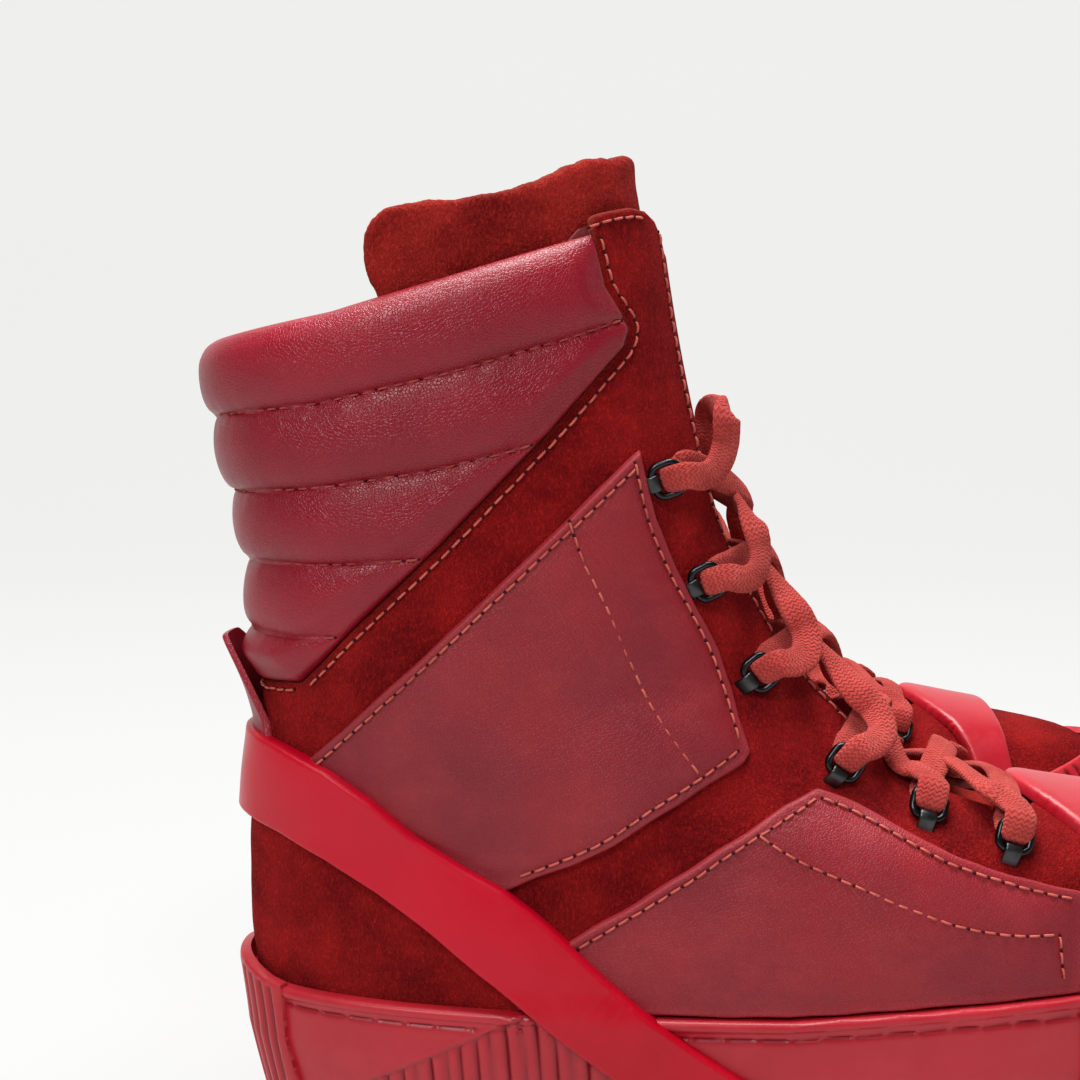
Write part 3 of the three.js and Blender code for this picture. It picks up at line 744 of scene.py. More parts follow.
# ------------------------------------------------------------------ ankle and side panels
# Cut leather laid over the suede on both sides and sewn down all round. The rings stand out from
# under their front edges.
PANEL = 2.1
ANKLE_PANEL = [(110.5, 195), (20, 108.6), (31, 97), (75, 77), (84, 81), (93, 84.5), (104, 90),
               (114, 96.5),
               (126, 103.5), (139, 110.5), (141, 113), (138, 122), (136, 130), (132.5, 140), (128, 149),
               (121, 162), (115, 176), (112, 188)]
SIDE_PANEL = [(159, 103.2), (150, 99.5), (142, 95), (132, 89.5), (124, 84), (108, 74), (91.5, 64),
              (78, 50),
              (78, 45.6), (150, 45.6), (228, 51), (229, 64), (231, 76), (222, 78), (213, 80.5), (204, 83),
              (196, 86), (188, 89.5), (181, 93), (170, 98.5)]
panel_leather = grained("panel_leather", (0.20, 0.006, 0.014), (0.32, 0.010, 0.019), (0.43, 0.035, 0.045),
                        0.46)


def panel(name, outline, z_range, side):
    def field(s):
        return from_outline(outline, *s.side_view) + ripple(s.points, 16, 31) * 0.18

    start, stop = (0.2, 2.9) if side > 0 else (-2.9, -0.2)
    cut = Sheet(z_range, 1.3, start, stop).trim(field, (0.3, 0.8, 1.6))
    d = field(cut)
    wave = ripple(cut.points, 38, 32) * 0.35 + ripple(cut.points, 90, 33) * 0.5
    groove = 0.3 * np.exp(-((d - 3.0) / 0.7) ** 2)
    face = GAP + (PANEL - 0.2) * rim_round(d, 0.9) - groove + (wave + 0.2) * smooth_step(d, 0, 9)
    corners, faces, source = cut.layer(face, -0.4)
    both_boots(name, corners, faces, panel_leather, "panel_leather", [name], edge=d[source])


for side_name, side in (("outer", 1), ("inner", -1)):
    panel(f"ankle_panel_{side_name}", ANKLE_PANEL, (70, 200), side)
    panel(f"side_panel_{side_name}", SIDE_PANEL, (43, 110), side)

# ------------------------------------------------------------------ rubber cup sole
# One moulding of red rubber that the whole upper is glued down into. Its wall ends in a raised
# lip with an imitation stitch groove below it, and is ribbed under the arch.
RAND_TOP = [(-20, 45), (150, 45), (226, 50.5), (330, 56)]
RAND_WALL = 2.9
SOLE_DRAFT = 5.5
ARCH_RIBS = [(82, 45.5), (38, 22), (10, 4), (10, -5), (136, -5), (136, 4), (106, 28)]


def sole_offset(z):
    return RAND_WALL - SOLE_DRAFT * np.maximum(0, 1 - z / 30) ** 1.2


def rubber(name, dark, light, bloom, rough, shine=0.4):
    """Moulded rubber: even colour with a pale bloom, faint cracks and a soft, patchy shine, with painted
    shade darkening its grooves and hollows.
    """
    f = Finish(name, Specular_IOR_Level=shine, Coat_Weight=0.04, Coat_Roughness=0.3)
    slow = f.steps(f.noise(16, 3, 0.5), [(0.3, 0.0), (0.7, 1.0)])
    dusty = f.steps(f.noise(70, 5, 0.7), [(0.45, 0.0), (0.85, 1.0)])
    tone = f.mix(slow, dark, light)
    tone = f.mix(dusty * 0.4, tone, bloom)
    # Painted shade: a darker copy of the rubber's colour, laid in where the stored mask marks grooves and
    # hollows.
    painted_shade_tone = (dark[0] * 0.3, dark[1] * 0.4, dark[2] * 0.4)
    f.feed("Base Color", f.mix(f.stored("hollow") * 0.75, tone, painted_shade_tone))
    f.feed("Roughness", dusty * 0.14 + slow * 0.06 + rough)
    return f.feed("Normal", f.bump(f.noise(420, 4, 0.6), 0.00012, 0.6))


sole_rubber = rubber("sole_rubber", (0.37, 0.006, 0.016), (0.48, 0.012, 0.024), (0.55, 0.045, 0.06), 0.34)


def run_round(angle, level=30.0):
    """Distance round the sole's wall from the toe, in millimetres."""
    fine = np.linspace(0, 2 * math.pi, 2000)
    ring = form_point(fine, np.full(2000, level))
    run = np.concatenate([[0], np.linalg.norm(np.diff(ring, axis=0), axis=1).cumsum()])
    return np.interp(np.mod(angle, 2 * math.pi), fine, run)


def ribs(angle, pitch):
    """Flat-topped ribs: 1 on a rib, 0 at the bottom of the narrow groove between two."""
    from_groove = np.abs(np.mod(run_round(angle) / pitch, 1) - 0.5) * pitch
    return 1 - np.exp(-((pitch / 2 - from_groove) / 0.62) ** 2)


def sole_top(s):
    x, z = s.side_view
    return below_line(RAND_TOP, x, z)


wall = Sheet((0.0, 60), 1.2)
wall.trim(sole_top, (0.5, 1.2, 2.2, 3.0, 4.4, 5.2))
d = sole_top(wall)
x, z = wall.side_view
arch = from_outline(ARCH_RIBS, x, z)
lip = 1.15 * smooth_step(d, -0.2, 0.9) * (1 - smooth_step(d, 2.2, 3.2))
stitch_marks = 0.35 + 0.65 * smooth_step(np.abs(np.mod(run_round(wall.at[:, 0]) / 8.5, 1) - 0.5), 0.03,
                                         0.1)
groove = 0.8 * np.exp(-((d - 4.9) / 0.45) ** 2) * (arch < -2) * stitch_marks
foot_round = 1.2 * np.maximum(0, 1 - z / 1.5) ** 2
in_arch = smooth_step(arch, 0, 1.2) * smooth_step(z, 1, 4)
rib_field = (1 - ribs(wall.at[:, 0], 4.3)) * in_arch
panel_edge = 0.45 * np.exp(-((arch + 0.8) / 0.7) ** 2) - 0.5 * np.exp(-((arch - 0.3) / 0.5) ** 2)
face = sole_offset(z) + lip - groove - foot_round - rib_field * 1.2 + panel_edge
# Painted shade for the arch ribs' grooves, the stitch groove and the arch panel's edge.
hollow = np.clip(rib_field + groove * 1.2 + np.exp(-((arch - 0.3) / 0.5) ** 2) * 0.6, 0, 1)
outer = off_form(*wall.at.T, face)
outer[:, 2] = np.where(z < 0.01, 0, outer[:, 2])
inner = off_form(*wall.at.T, 0.15)
inner[:, 2] = np.maximum(inner[:, 2], 0)
corners, faces, source = wall.closed(outer, inner)
both_boots("cup_sole_wall", corners, faces, sole_rubber, "rubber", ["cup_sole"], hollow=hollow[source])


def tread_piece():
    """The flat underside with cross grooves, and the floor that the board sits on."""
    around = np.linspace(0, 2 * math.pi, 420, endpoint=False)
    outline = off_form(around, np.zeros(420), sole_offset(0) - 1.2)
    spine = outline * (1, 0, 1)
    spine[:, 0] = np.clip(outline[:, 0], 40, 262)
    rows = []
    for share in np.linspace(1, 0, 46):
        row = spine + (outline - spine) * share
        wave = np.abs(np.sin(row[:, 0] * math.pi / 11 + 0.5 * np.sin(row[:, 1] / 9)))
        cut = smooth_step(0.42 - wave, 0, 0.14) * (share < 0.9)
        row[:, 2] = 1.6 * cut
        rows.append(row)
    cavity = off_form(around, np.full(420, 26.0), 0.1)
    cavity[:, 2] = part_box("right_lasting_board")[0].z / MM - 0.3
    middle = cavity * (1, 0, 1)
    middle[:, 0] = np.clip(cavity[:, 0], 40, 262)
    return [middle, cavity] + rows


corners, faces = rows_mesh(tread_piece())
both_boots("tread", corners, faces[:, ::-1], sole_rubber, "rubber", hollow=np.zeros(len(corners)))

# ------------------------------------------------------------------ ribbed bumpers
# Separate rubber caps cemented over the sole's wall at heel and toe, moulded with upright ribs
# and a smooth rolled lip.
BUMPER_WALL = 1.38
HEEL_BUMPER = [(-20, 53.5), (-6, 52.5), (0, 51.5), (6, 48.5), (10, 46.8), (14.5, 46), (15.5, 30),
               (20, 1.6),
               (-20, 1.6)]
TOE_BUMPER = [(228, 1.6), (228, 44), (231, 50), (236, 57), (243, 64), (253, 69.5), (266, 73), (280, 77),
              (292, 80), (330, 82), (330, 1.6)]
bumper_rubber = rubber("bumper_rubber", (0.37, 0.006, 0.014), (0.48, 0.011, 0.022), (0.55, 0.045, 0.058),
                       0.36)


def bumper(name, outline, z_range, start, stop, pitch):
    cut = Sheet(z_range, 0.8, start, stop)
    d = cut.trim_to(outline, (0.4, 1.0, 2.0, 3.0))
    z = cut.at[:, 1]
    rolled = 0.9 * rim_round(d, 2.6)
    grooves = (1 - ribs(cut.at[:, 0], pitch)) * smooth_step(d, 0.9, 2.4)
    face = sole_offset(z) + BUMPER_WALL + rolled - grooves * 1.25 - 0.6 * np.maximum(0, 1 - z / 4) ** 2
    corners, faces, source = cut.layer(face, sole_offset(z) - 1.2)
    # The rib grooves are darkened with painted shade.
    both_boots(name, corners, faces, bumper_rubber, "rubber", [name], hollow=grooves[source])


bumper("heel_bumper", HEEL_BUMPER, (1.6, 54), 2.2, 2 * math.pi - 2.2, 3.6)
bumper("toe_bumper", TOE_BUMPER, (1.6, 84), -1.5, 1.5, 4.2)

# ------------------------------------------------------------------ heel strap and forefoot band
# A thick, smooth rubber strap that leaves the sole under the arch, crosses the side and passes
# round the back of the heel; and a thinner band over the forefoot.
STRAP = [(-30, 118), (-4, 117), (2, 116.4), (14, 113.5), (28, 108.5), (40, 101), (52, 91.5), (64, 84),
         (75, 78), (83, 72), (92, 64.5), (102, 55.5), (111, 48), (125, 38), (139, 29), (160, 15),
         (176, 6),
         (144, 6), (124, 17), (105, 28.5), (93, 37), (82, 45.5), (68, 55.5), (55, 65.5), (41, 75),
         (27, 83),
         (14, 88.5), (2, 91.4), (-30, 92)]
STRAP_THICK = 3.0
strap_rubber = rubber("strap_rubber", (0.42, 0.0001, 0.010), (0.52, 0.0003, 0.017), (0.56, 0.008, 0.026),
                      0.28, 0.26)


def strap_seat(x, z):
    """The strap lies on panel or suede above, and steps out over the sole's lip below."""
    over_sole = sole_offset(z) + 0.6
    above = 0.9 + 1.4 * smooth_step(x, 8, 30)
    return over_sole + (above - over_sole) * smooth_step(z, 43, 53)


strap = Sheet((5, 120), 1.2, 0.9, 2 * math.pi - 0.9)
d = strap.trim_to(STRAP, (0.3, 0.8, 1.6, 2.6))
x, z = strap.side_view
crease = 0.0
for place, turn in ((97, -0.9), (101, -0.7), (105, -1.0)):
    fold = np.exp(-(((x - place) + (z - 46) * turn) / 0.9) ** 2)
    crease = crease + 0.14 * fold * smooth_step(z, 30, 42)
thickness = STRAP_THICK * (0.25 + 0.75 * rim_round(d, 1.1)) + 0.25 * smooth_step(d, 0, 12)
drag = ripple(strap.points, 60, 41) * 0.35
face = strap_seat(x, z) + thickness - crease * (z < 62) + drag * smooth_step(d, 0, 6)
corners, faces, source = strap.layer(face, np.minimum(strap_seat(x, z) - 0.9, 0.2))
both_boots("heel_strap", corners, faces, strap_rubber, "rubber", ["heel_strap"], hollow=(0 * d)[source])

BAND = [(213, 130), (250, 130), (251, 93), (252, 80), (253.5, 69.4), (248, 67.5), (243, 65.2), (240, 62),
        (240, 67), (239, 75), (237, 82), (233, 88.5), (227, 93), (220, 97), (214, 101)]
band = Sheet((50, 104), 1.1, -1.6, 1.6)
d = band.trim_to(BAND, (0.3, 0.8, 1.6))
face = 2.4 + 1.6 * rim_round(d, 1.4) + ripple(band.points, 40, 42) * 0.2
corners, faces, source = band.layer(face, 0.1)
both_boots("forefoot_band", corners, faces, sole_rubber, "rubber", ["forefoot_band"],
           hollow=(0 * d)[source])

# ------------------------------------------------------------------ pull tab
# A folded tab of leather at the back of the heel, rooted under the strap and flaring back from
# the collar. Leather outside, suede inside.
TAB_ROOT, TAB_TIP = 118, 142


def tab_field(s):
    p = s.points
    tip = [(5.5, 141.6), (7.6, 139.5), (8.8, 136), (11, 129), (15, 118), (18.5, 109)]
    return from_outline([(y, z) for y, z in tip] + [(-y, z) for y, z in reversed(tip)], p[:, 1], p[:, 2])


def tab_seat(z):
    return 0.2 + 10.0 * np.maximum(0, (z - TAB_ROOT) / (TAB_TIP - TAB_ROOT)) ** 1.05


tab = Sheet((108, 143), 0.9, 2.2, 2 * math.pi - 2.2).trim(tab_field, (0.3, 0.9))
d = tab_field(tab)
z = tab.at[:, 1]
back = tab_seat(z) + ripple(tab.points, 20, 51) * 0.25
corners, faces, source = tab.layer(back + 1.9 * rim_round(d, 0.9), back)
tabs = both_boots("pull_tab", corners, faces, collar_leather, "collar_leather", ["pull_tab"], body=None,
                  edge=d[source])
bend_between(tabs)

# ------------------------------------------------------------------ lace rings
# Bent steel wire, black nickel plated. Each loop turns on a bar held under the panel's edge by a
# small riveted keeper plate.
RING_WIRE, RING_WIDTH, RING_REACH, RING_TILT = 1.8, 10.5, 9.5, math.radians(28)
ring_metal = mottled("black_nickel", 260, (0.012, 0.012, 0.014), (0.05, 0.05, 0.055), Metallic=1.0)
ring_metal.feed("Roughness", ring_metal.noise(500, 4) * 0.2 + 0.16)


def unit(v):
    return v / np.linalg.norm(v, axis=-1, keepdims=True)


def ring_frame(k, side):
    """A ring's pivot and its three ways, from the joint that it turns on: reach, edge and off."""
    place = "outer" if side > 0 else "inner"
    joint = joints[f"right_ring_{place}_{k + 1}_swivel"]
    pivot = (np.array(joint["pos_m"]) - (heel_x, middle_y["right"], 0)) / MM
    off = form_normal(side_angle(pivot[0], pivot[2], side), pivot[2])
    edge = unit(np.array(joint["axis"], float))
    edge = edge * (1 if edge[2] < 0 else -1)
    off = unit(off - edge * (off @ edge))
    reach = np.cross(off, edge)
    reach = reach * (1 if reach[1] * side > 0 else -1)
    return pivot, reach, edge, off


def swept_loop(path, radius, section):
    """A closed bar along a closed flat path."""
    way = unit(np.roll(path, -1, 0) - np.roll(path, 1, 0))
    flat = np.cross(way, (0, 0, 1))
    a = np.linspace(0, 2 * math.pi, section, endpoint=False)
    round_way = flat[:, None] * np.cos(a)[:, None] + np.array((0, 0, 1.0)) * np.sin(a)[:, None]
    ring = path[:, None] + radius * round_way
    n, m = len(path), section
    i, j = np.meshgrid(np.arange(n), np.arange(m), indexing="ij")
    faces = np.stack([i * m + j, i * m + (j + 1) % m, ((i + 1) % n) * m + (j + 1) % m,
                      ((i + 1) % n) * m + j], -1).reshape(-1, 4)
    return ring.reshape(-1, 3), faces


def ring_shape():
    w, l, c = (RING_WIDTH - RING_WIRE) / 2, RING_REACH - RING_WIRE, 2.6
    turns = [(c, w - c, 90), (l - c, w - c, 0), (l - c, c - w, -90), (c, c - w, -180)]
    path = [(cx + c * math.cos(turn), cy + c * math.sin(turn), 0) for cx, cy, start in turns
            for turn in np.radians(start + 90 - np.linspace(0, 90, 9))]
    return swept_loop(np.array(path), RING_WIRE / 2 * 1.15, 14)


ring_local, ring_faces = ring_shape()
ring_frames = {(k, side): ring_frame(k, side) for k in range(6) for side in (1, -1)}
for (k, side), (pivot, reach, edge, off) in ring_frames.items():
    lean = reach * math.cos(RING_TILT) + off * math.sin(RING_TILT)
    place = "outer" if side > 0 else "inner"
    placed = pivot + ring_local @ np.stack([lean, edge, np.cross(lean, edge)])
    both_boots(f"lace_ring_{place}_{k + 1}", placed, ring_faces, ring_metal, "ring_metal",
               [f"ring_{place}_{k + 1}"], body=f"ring_{place}_{k + 1}")

# The keepers: a folded plate over each ring's bar, its tail under the panel.
keeper_metal = mottled("keeper_plate", 420, (0.03, 0.03, 0.032), (0.09, 0.09, 0.094), Metallic=1.0)
keeper_metal.feed("Roughness", keeper_metal.noise(350, 3) * 0.2 + 0.25)


def keeper_shape():
    """A strip bent over the bar: rows along the strip, each a flattened oblong."""
    bend = [(-3.0, -2.2), (-2.3, -0.7), (-1.25, 0.95), (0, 1.55), (1.05, 1.25), (1.5, 0.3), (1.35, -0.7)]
    strip = rounded_path(bend, 0.5)
    way = unit(np.gradient(strip, axis=0))
    up = np.stack([-way[:, 1], way[:, 0]], 1)
    section = [(-2.3, 0), (-2.2, 0.25), (-1.8, 0.4), (1.8, 0.4), (2.2, 0.25), (2.3, 0), (1.8, -0.15),
               (-1.8, -0.15)]
    rows = [[(p[0] + u[0] * h, across, p[1] + u[1] * h) for across, h in section]
            for p, u in zip(strip, up)]
    corners, faces = rows_mesh([np.array(r) for r in rows])
    n = len(section)
    ends = [list(range(n))[::-1], list(range(len(corners) - n, len(corners)))]
    fans = [(e[0], e[i], e[i + 1]) for e in ends for i in range(1, n - 1)]
    return corners, faces, fans


keeper_local, keeper_faces, keeper_fans = keeper_shape()
keeper_tris = np.vstack([keeper_faces[:, [0, 1, 2]], keeper_faces[:, [0, 2, 3]],
                         keeper_fans])
all_corners, all_faces = [], []
for pivot, reach, edge, off in ring_frames.values():
    all_faces.append(keeper_tris + sum(len(c) for c in all_corners))
    all_corners.append(pivot + keeper_local @ np.stack([reach, edge, off]))
both_boots("ring_keepers", np.vstack(all_corners), np.vstack(all_faces), keeper_metal, "ring_metal")

# ------------------------------------------------------------------ lace
# A flat cotton braid, worn soft and furry, threaded up and down through the rings. It crosses
# the tongue in loose loops, and its ends are tied off small beside the inner top ring.
LACE_WIDE, LACE_THICK = 8.0, 2.9
TURNS = [(0, -1), (0, 1), (1, -1), (2, 1), (3, -1), (4, 1), (5, -1), (5, 1), (4, -1), (3, 1), (2, -1),
         (1, 1)]
CROSSING_HEIGHTS = [179, 161, 137, 118, 103]
FALL = 76


def ridge_point(z, rise, y=0.0):
    slope = (toe_at(z + 1) - toe_at(z - 1)) / 2
    way = np.array([1, 0, -slope]) / math.hypot(1, slope)
    return np.array([toe_at(z), y, z]) + way * rise, way


def near_ring(k, side, spots):
    """Points beside a ring: how far along its reach, off the suede and down the edge."""
    pivot, reach, edge, off = ring_frames[(k, side)]
    return [pivot + reach * f + off * (h - f * f / FALL) + edge * d for f, h, d in spots]


def over_strand(k, side):
    """From inside the ring, over its far bar, sagging below it and curling up to the crossing."""
    if k == 0:
        spots = [(7.2, 6.5, 0.5), (12.5, 7.6, 2.6), (18, 9.2, 1.8), (23, 11.8, -3), (26, 13.8, -10.5)]
    elif k < 4:
        spots = [(7.2, 6.4, 0.8), (12, 7.4, 3.8), (17.5, 8.6, 4.2), (22.5, 9.8, 0), (25, 10.2, -8)]
    else:
        spots = [(7.2, 6.0, 0), (11, 5.6, -0.5), (15, 5.2, -4), (18, 5, -9)]
    return near_ring(k, side, spots)


def lace_route():
    """The lace's middle line, and beside each point the way its flat side faces."""
    route = []
    facing = 1

    def add(points, face):
        route.extend((point, face * facing) for point in points)

    for i, (k, side) in enumerate(TURNS):
        pivot, reach, edge, off = ring_frames[(k, side)]
        under = near_ring(k, side, [(15, 0.5, 0), (9.5, 0.3, -0.8)])
        inside = near_ring(k, side, [(3.3, 1.6, 0)])
        over = over_strand(k, side)
        going_up = i > 6 or i == 0
        if i == 0:
            under = near_ring(k, side, [(13, 0.3, 12), (11, 0.3, 5)])
        elif i == 1:
            middle, way = ridge_point(203.5, 7.5)
            add([middle], way)
        elif i == 7:
            middle, way = ridge_point(97.5, 2.2)
            add([middle], way)
        else:
            row = min(k, TURNS[i - 1][0])
            lower_side = side if not going_up else TURNS[i - 1][1]
            rise = (8.2, 8.2, 8.2, 5.5, 5.2)[row] if lower_side < 0 else (4.4, 4.4, 4.4, 2.3, 2.2)[row]
            middle, way = ridge_point(CROSSING_HEIGHTS[row], rise)
            add([middle], way)
        if going_up:
            add(under, off)
            add(inside, reach)
            facing = -facing
            add(over, off)
        else:
            add(over[::-1], off)
            add(inside, -reach)
            facing = -facing
            add(under[::-1], off)
    middle, way = ridge_point(CROSSING_HEIGHTS[0], 4.4)
    add([middle], way)
    add(near_ring(0, -1, [(15, 1.0, 2), (12, 3.6, 8), (9, 3.6, 15)]), ring_frames[(0, -1)][3])
    return np.array([p for p, _ in route]), np.array([n for _, n in route])


LACE_STEP = 0.6
lace_points, lace_faces = lace_route()
lace_line = rounded_path(np.hstack([lace_points, lace_faces * 0.001]), LACE_STEP)
lace_path = lace_line[:, :3]
way = unit(np.gradient(lace_path, axis=0))
run = np.arange(len(lace_path)) * LACE_STEP
wide = unit(np.cross(lace_line[:, 3:], way))
for _ in range(12):
    wide[1:-1] = unit(wide[:-2] + 2 * wide[1:-1] + wide[2:])
wide = unit(wide - way * (wide * way).sum(1)[:, None])
thin = np.cross(way, wide)
twist = 0.16 * np.sin(run / 19.0) + 0.12 * np.sin(run / 7.3 + 1)
wide, thin = (wide * np.cos(twist)[:, None] + thin * np.sin(twist)[:, None],
              thin * np.cos(twist)[:, None] - wide * np.sin(twist)[:, None])
LACE_SECTION = 32
a = np.linspace(0, 2 * math.pi, LACE_SECTION, endpoint=False)
across = np.sign(np.cos(a)) * np.abs(np.cos(a)) ** 0.9
through = np.sign(np.sin(a)) * np.abs(np.sin(a)) ** 0.7
outline = np.stack([across * LACE_WIDE / 2, through * LACE_THICK / 2], 1)
around_mm = np.linalg.norm(np.diff(outline, axis=0, prepend=outline[-1:]), axis=1).cumsum()
spread = 1 + 0.07 * np.sin(run / 31) + 0.05 * np.sin(run / 7)
edge_mm = np.minimum(around_mm, around_mm[-1] - around_mm)
ring = (wide[:, None] * (across[None, :] * spread[:, None] * LACE_WIDE / 2)[..., None]
        + thin[:, None] * (through * LACE_THICK / 2)[None, :, None])
tube = lace_path[:, None] + ring
relief = 0.14 * np.abs(np.sin(edge_mm * math.pi / 2.2)) + ripple(tube, 2.6, 61) * 0.07
tube = tube + unit(ring) * relief[..., None]
ends = [tube[k] * 0.3 + lace_path[k] * 0.7 for k in (0, -1)]
corners, faces = rows_mesh([ends[0], *tube, ends[1]])
along_mm = np.repeat(np.concatenate([run[:1], run, run[-1:]]), LACE_SECTION)
edge_mm = np.tile(edge_mm, len(run) + 2)
lace_cotton = Finish("lace_cotton", Roughness=0.95, Specular_IOR_Level=0.05, Sheen_Weight=0.26,
                     Sheen_Roughness=0.5,
                     Sheen_Tint=(1, 0.4, 0.35))
STRAND, PLAIT = 0.8, 1.15
strand = (lace_cotton.stored("around") * (1 / STRAND)).fold(1.0)
plait_and_shade = (lace_cotton.stored("along") * (1 / PLAIT) + strand * 0.6).fold(0.5) * 2
plait_and_shade = lace_cotton.steps(plait_and_shade + (lace_cotton.noise(900, 3) - 0.5) * 1.5, [(0.05, 0.0), (0.8, 1.0)])
faded = lace_cotton.steps(lace_cotton.noise(90, 4, 0.6), [(0.35, 0.0), (0.7, 1.0)])
fibres = lace_cotton.noise(2400, 3, 0.75)
tone = lace_cotton.mix(faded * 0.6 + fibres * 0.4, (0.40, 0.034, 0.030), (0.72, 0.105, 0.088))
# Painted shade: the gaps between the braid's strands are darkened; the same pattern also raises the bump.
tone = lace_cotton.mix((1 - plait_and_shade) * 0.5, tone, (0.22, 0.010, 0.011))
lace_cotton.feed("Base Color", tone)
lace_cotton.feed("Normal", lace_cotton.bump(fibres * 1.2 + plait_and_shade, 0.0005, 0.8))
both_boots("lace", corners, faces, lace_cotton, "lace", ["lace"], sharp=180, along=along_mm,
           around=edge_mm)

# ------------------------------------------------------------------ seams
# Heavy salmon thread, about six stitches to the inch, sewn after the pieces were laid down. Each
# stitch rises out of one needle hole and dives again just before the next.
THREAD, STITCH, STITCH_GAP = 0.33, 3.25, 0.8
thread_cotton = Finish("seam_thread", Roughness=0.8, Specular_IOR_Level=0.2)
thread_tone = thread_cotton.steps(thread_cotton.noise(70, 3), [(0.3, 0.0), (0.7, 1.0)])
thread_tone = thread_cotton.mix(thread_tone, (0.42, 0.065, 0.052), (0.64, 0.15, 0.115))
thread_tone = thread_cotton.mix(thread_cotton.stored("shade"), thread_tone, (0.17, 0.012, 0.02))
# Painted shade: needle holes are coloured near black, standing in for the shadow inside each hole.
thread_tone = thread_cotton.mix(thread_cotton.stored("hole"), thread_tone, (0.05, 0.002, 0.004))
thread_cotton.feed("Base Color", thread_tone)
thread_cotton.feed("Normal", thread_cotton.bump(thread_cotton.noise(3500, 2), 0.0002))
seam_corners, seam_faces, seam_shades, seam_hole_shades = [], [], [], []
ROUND = np.linspace(0, 2 * math.pi, 7, endpoint=False)
ROUND_COS, ROUND_SIN = np.cos(ROUND)[:, None], np.sin(ROUND)[:, None]
BEAD_ALONG, BEAD_RISE, BEAD_THICK = np.array([
    (-0.5, -0.75, 0.7), (-0.46, -0.2, 0.85), (-0.36, 0.22, 1.0), (0, 0.36, 1.05), (0.36, 0.22, 1.0),
    (0.46, -0.2, 0.85), (0.5, -0.75, 0.7)]).T


def add_seam_part(rows, shade, hole):
    corners, faces = rows_mesh(rows)
    seam_faces.append(faces + sum(map(len, seam_corners)))
    seam_corners.append(corners)
    seam_shades.append(np.full(len(corners), shade))
    seam_hole_shades.append(np.full(len(corners), hole))


def sew(line, normals, seed, shade=0.0):
    """Stitches along a run of points on the leather's face, each between two needle holes, with a small
    dark disc of painted shade sunk in the hole before each stitch.
    """
    length = np.concatenate([[0], np.linalg.norm(np.diff(line, axis=0), axis=1).cumsum()])
    rng = np.random.default_rng(seed)
    for start in np.arange(0.3, length[-1] - STITCH, STITCH + STITCH_GAP):
        jog = rng.uniform(-0.16, 0.16, 3)
        spots = start + STITCH * (0.5 + BEAD_ALONG)
        p = np.stack([np.interp(spots, length, line[:, k]) for k in range(3)], 1)
        n = unit(np.stack([np.interp(spots, length, normals[:, k]) for k in range(3)], 1))
        way = unit(p[-1] - p[0])
        cross = unit(np.cross(way, n))
        lean = np.linspace(jog[0], jog[1], len(BEAD_ALONG))
        centre = p + n * BEAD_RISE[:, None] + cross * lean[:, None]
        radius = THREAD * BEAD_THICK[:, None, None]
        ring = centre[:, None] + radius * (cross[:, None] * ROUND_COS + n[:, None] * ROUND_SIN)
        add_seam_part(list(ring), shade, 0.0)
        # A small dark disc sunk at the needle hole, painted shade for the hole's dark inside.
        hole = p[0] - way * 0.28
        flat = cross[0] * ROUND_COS + way * ROUND_SIN
        rows = [hole + n[0] * h + flat * r
                for r, h in ((0.02, -0.5), (0.5, -0.3), (0.46, 0.09), (0.02, 0.12))]
        add_seam_part([row[::-1] for row in rows], shade, 1.0)


def sew_side(points, face, seed, smooth=True):
    """The same seam on the outside and inside of the boot, from its line in the side view."""
    line = rounded_path(points, 0.5) if smooth else np.array(points, float)
    for side in (1, -1):
        angle = side_angle(line[:, 0], line[:, 1], side)
        sew(off_form(angle, line[:, 1], face), form_normal(angle, line[:, 1]), seed + side)


def inset(points, distance):
    """An open line moved sideways in the side view, to the right of its run."""
    line = rounded_path(points, 1.0)
    way = unit(np.gradient(line, axis=0))
    return line + np.stack([way[:, 1], -way[:, 0]], 1) * distance


panel_face = PANEL + 0.2
sew_side(inset([(20, 108.6), (65, 152), (110.5, 195)], 2.6)[3:-3], panel_face, 1, False)
sew_side(inset([(110.5, 195), (112, 188), (115, 176), (121, 162), (128, 149), (132.5, 140), (136, 130),
                (141, 113)], 2.6)[3:-3], panel_face, 2, False)
sew_side(inset([(141, 113), (126, 103.5), (114, 96.5), (104, 90), (93, 84.5), (75, 77)], 2.6)[3:-2],
         panel_face, 3, False)
sew_side([(91.5, 176.5), (95, 166), (100.5, 155), (111, 131), (118, 119), (126.5, 108)],
         panel_face + 0.3, 4)
sew_side(inset([(91.5, 64), (108, 74), (124, 84), (132, 89.5), (142, 95), (159, 103.2)], 2.6)[2:-2],
         panel_face, 5, False)
sew_side(inset([(159, 103.2), (170, 98.5), (181, 93), (188, 89.5), (196, 86), (213, 80.5), (231, 76)],
               2.6)[2:-2], panel_face, 6, False)
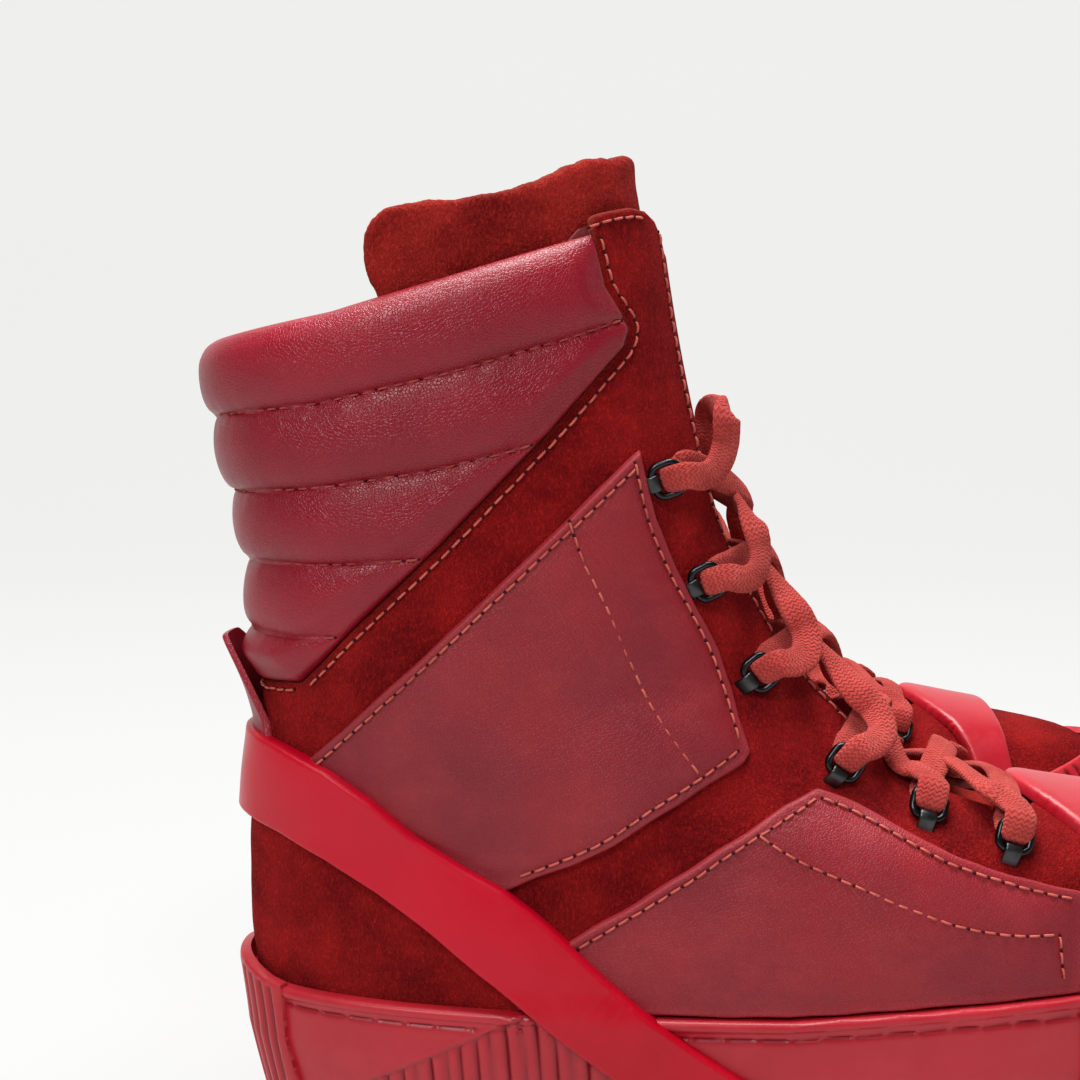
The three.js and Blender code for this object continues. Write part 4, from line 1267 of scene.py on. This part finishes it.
sew_side([(142, 92.5), (153, 86), (166.5, 80.2), (181, 74), (195.5, 69), (209, 66.5), (221, 66)],
         panel_face + 0.3, 7)
sew_side([(222, 66), (222.5, 58), (223.5, 52.5)], panel_face + 0.2, 8)
collar_border = inset([(97.5, 250), (101, 238), (105.5, 231), (107.5, 227), (106, 222), (100, 215),
                       (87, 200), (58, 170), (34, 147), (19, 131.5)], -2.6)
sew_side(collar_border, 0.35, 9, False)
sew_side(inset([(96, 255.5), (101, 257.3), (108.5, 259.3), (113, 259)], 2.6), 0.3, 10, False)


def sew_facing(high, low, seed):
    """The seam down the facing's edge, clear of the gap that the lace closes."""
    heights = np.arange(high, low, -0.5)
    angle = np.linspace(0, 1.4, 600)
    for side in (1, -1):
        p = form_point(angle[None, :] * side, heights[:, None])
        beside = np.abs(p[..., 1]) - np.interp(p[..., 0], *np.array(THROAT, float).T) - 2.3
        clear = np.minimum(beside, toe_at(heights)[:, None] - p[..., 0] - 2.2)
        at = angle[(clear > 0).argmax(1)] * side
        sew(off_form(at, heights, 0.2), form_normal(at, heights), seed + side)


sew_facing(254, 98, 11)


def sew_round(line, face, seed, start, stop, shade=0.0):
    """A seam that passes round the back of the boot, from its height in the side view."""
    angle = np.linspace(start, stop, 700)
    z = np.full(700, float(np.mean(np.array(line)[:, 1])))
    for _ in range(6):
        z = np.interp(form_point(angle, z)[:, 0], *np.array(line, float).T)
    points = form_point(angle, z)
    x = points[:, 0]
    keep = np.where(z < COLLAR_LOW[0][1], x < line[-1][0], collar_hole(x, z) > 1.2)
    off = face(x, z, points)[keep]
    sew(off_form(angle[keep], z[keep], off), form_normal(angle[keep], z[keep]), seed, shade)


for number, line in enumerate(SEAMS):
    sew_round(line, valley_face, 20 + number, 0.5, 2 * math.pi - 0.5, 0.45)
sew_round([(-30, 127.6), (8, 127.6), (17, 129)], lambda x, z, points: 0.3 + 0 * x, 25, 2.2,
          2 * math.pi - 2.2)
both_boots("seam_stitches", np.vstack(seam_corners), np.vstack(seam_faces), thread_cotton, "lace",
           sharp=180,
           shade=np.concatenate(seam_shades), hole=np.concatenate(seam_hole_shades))
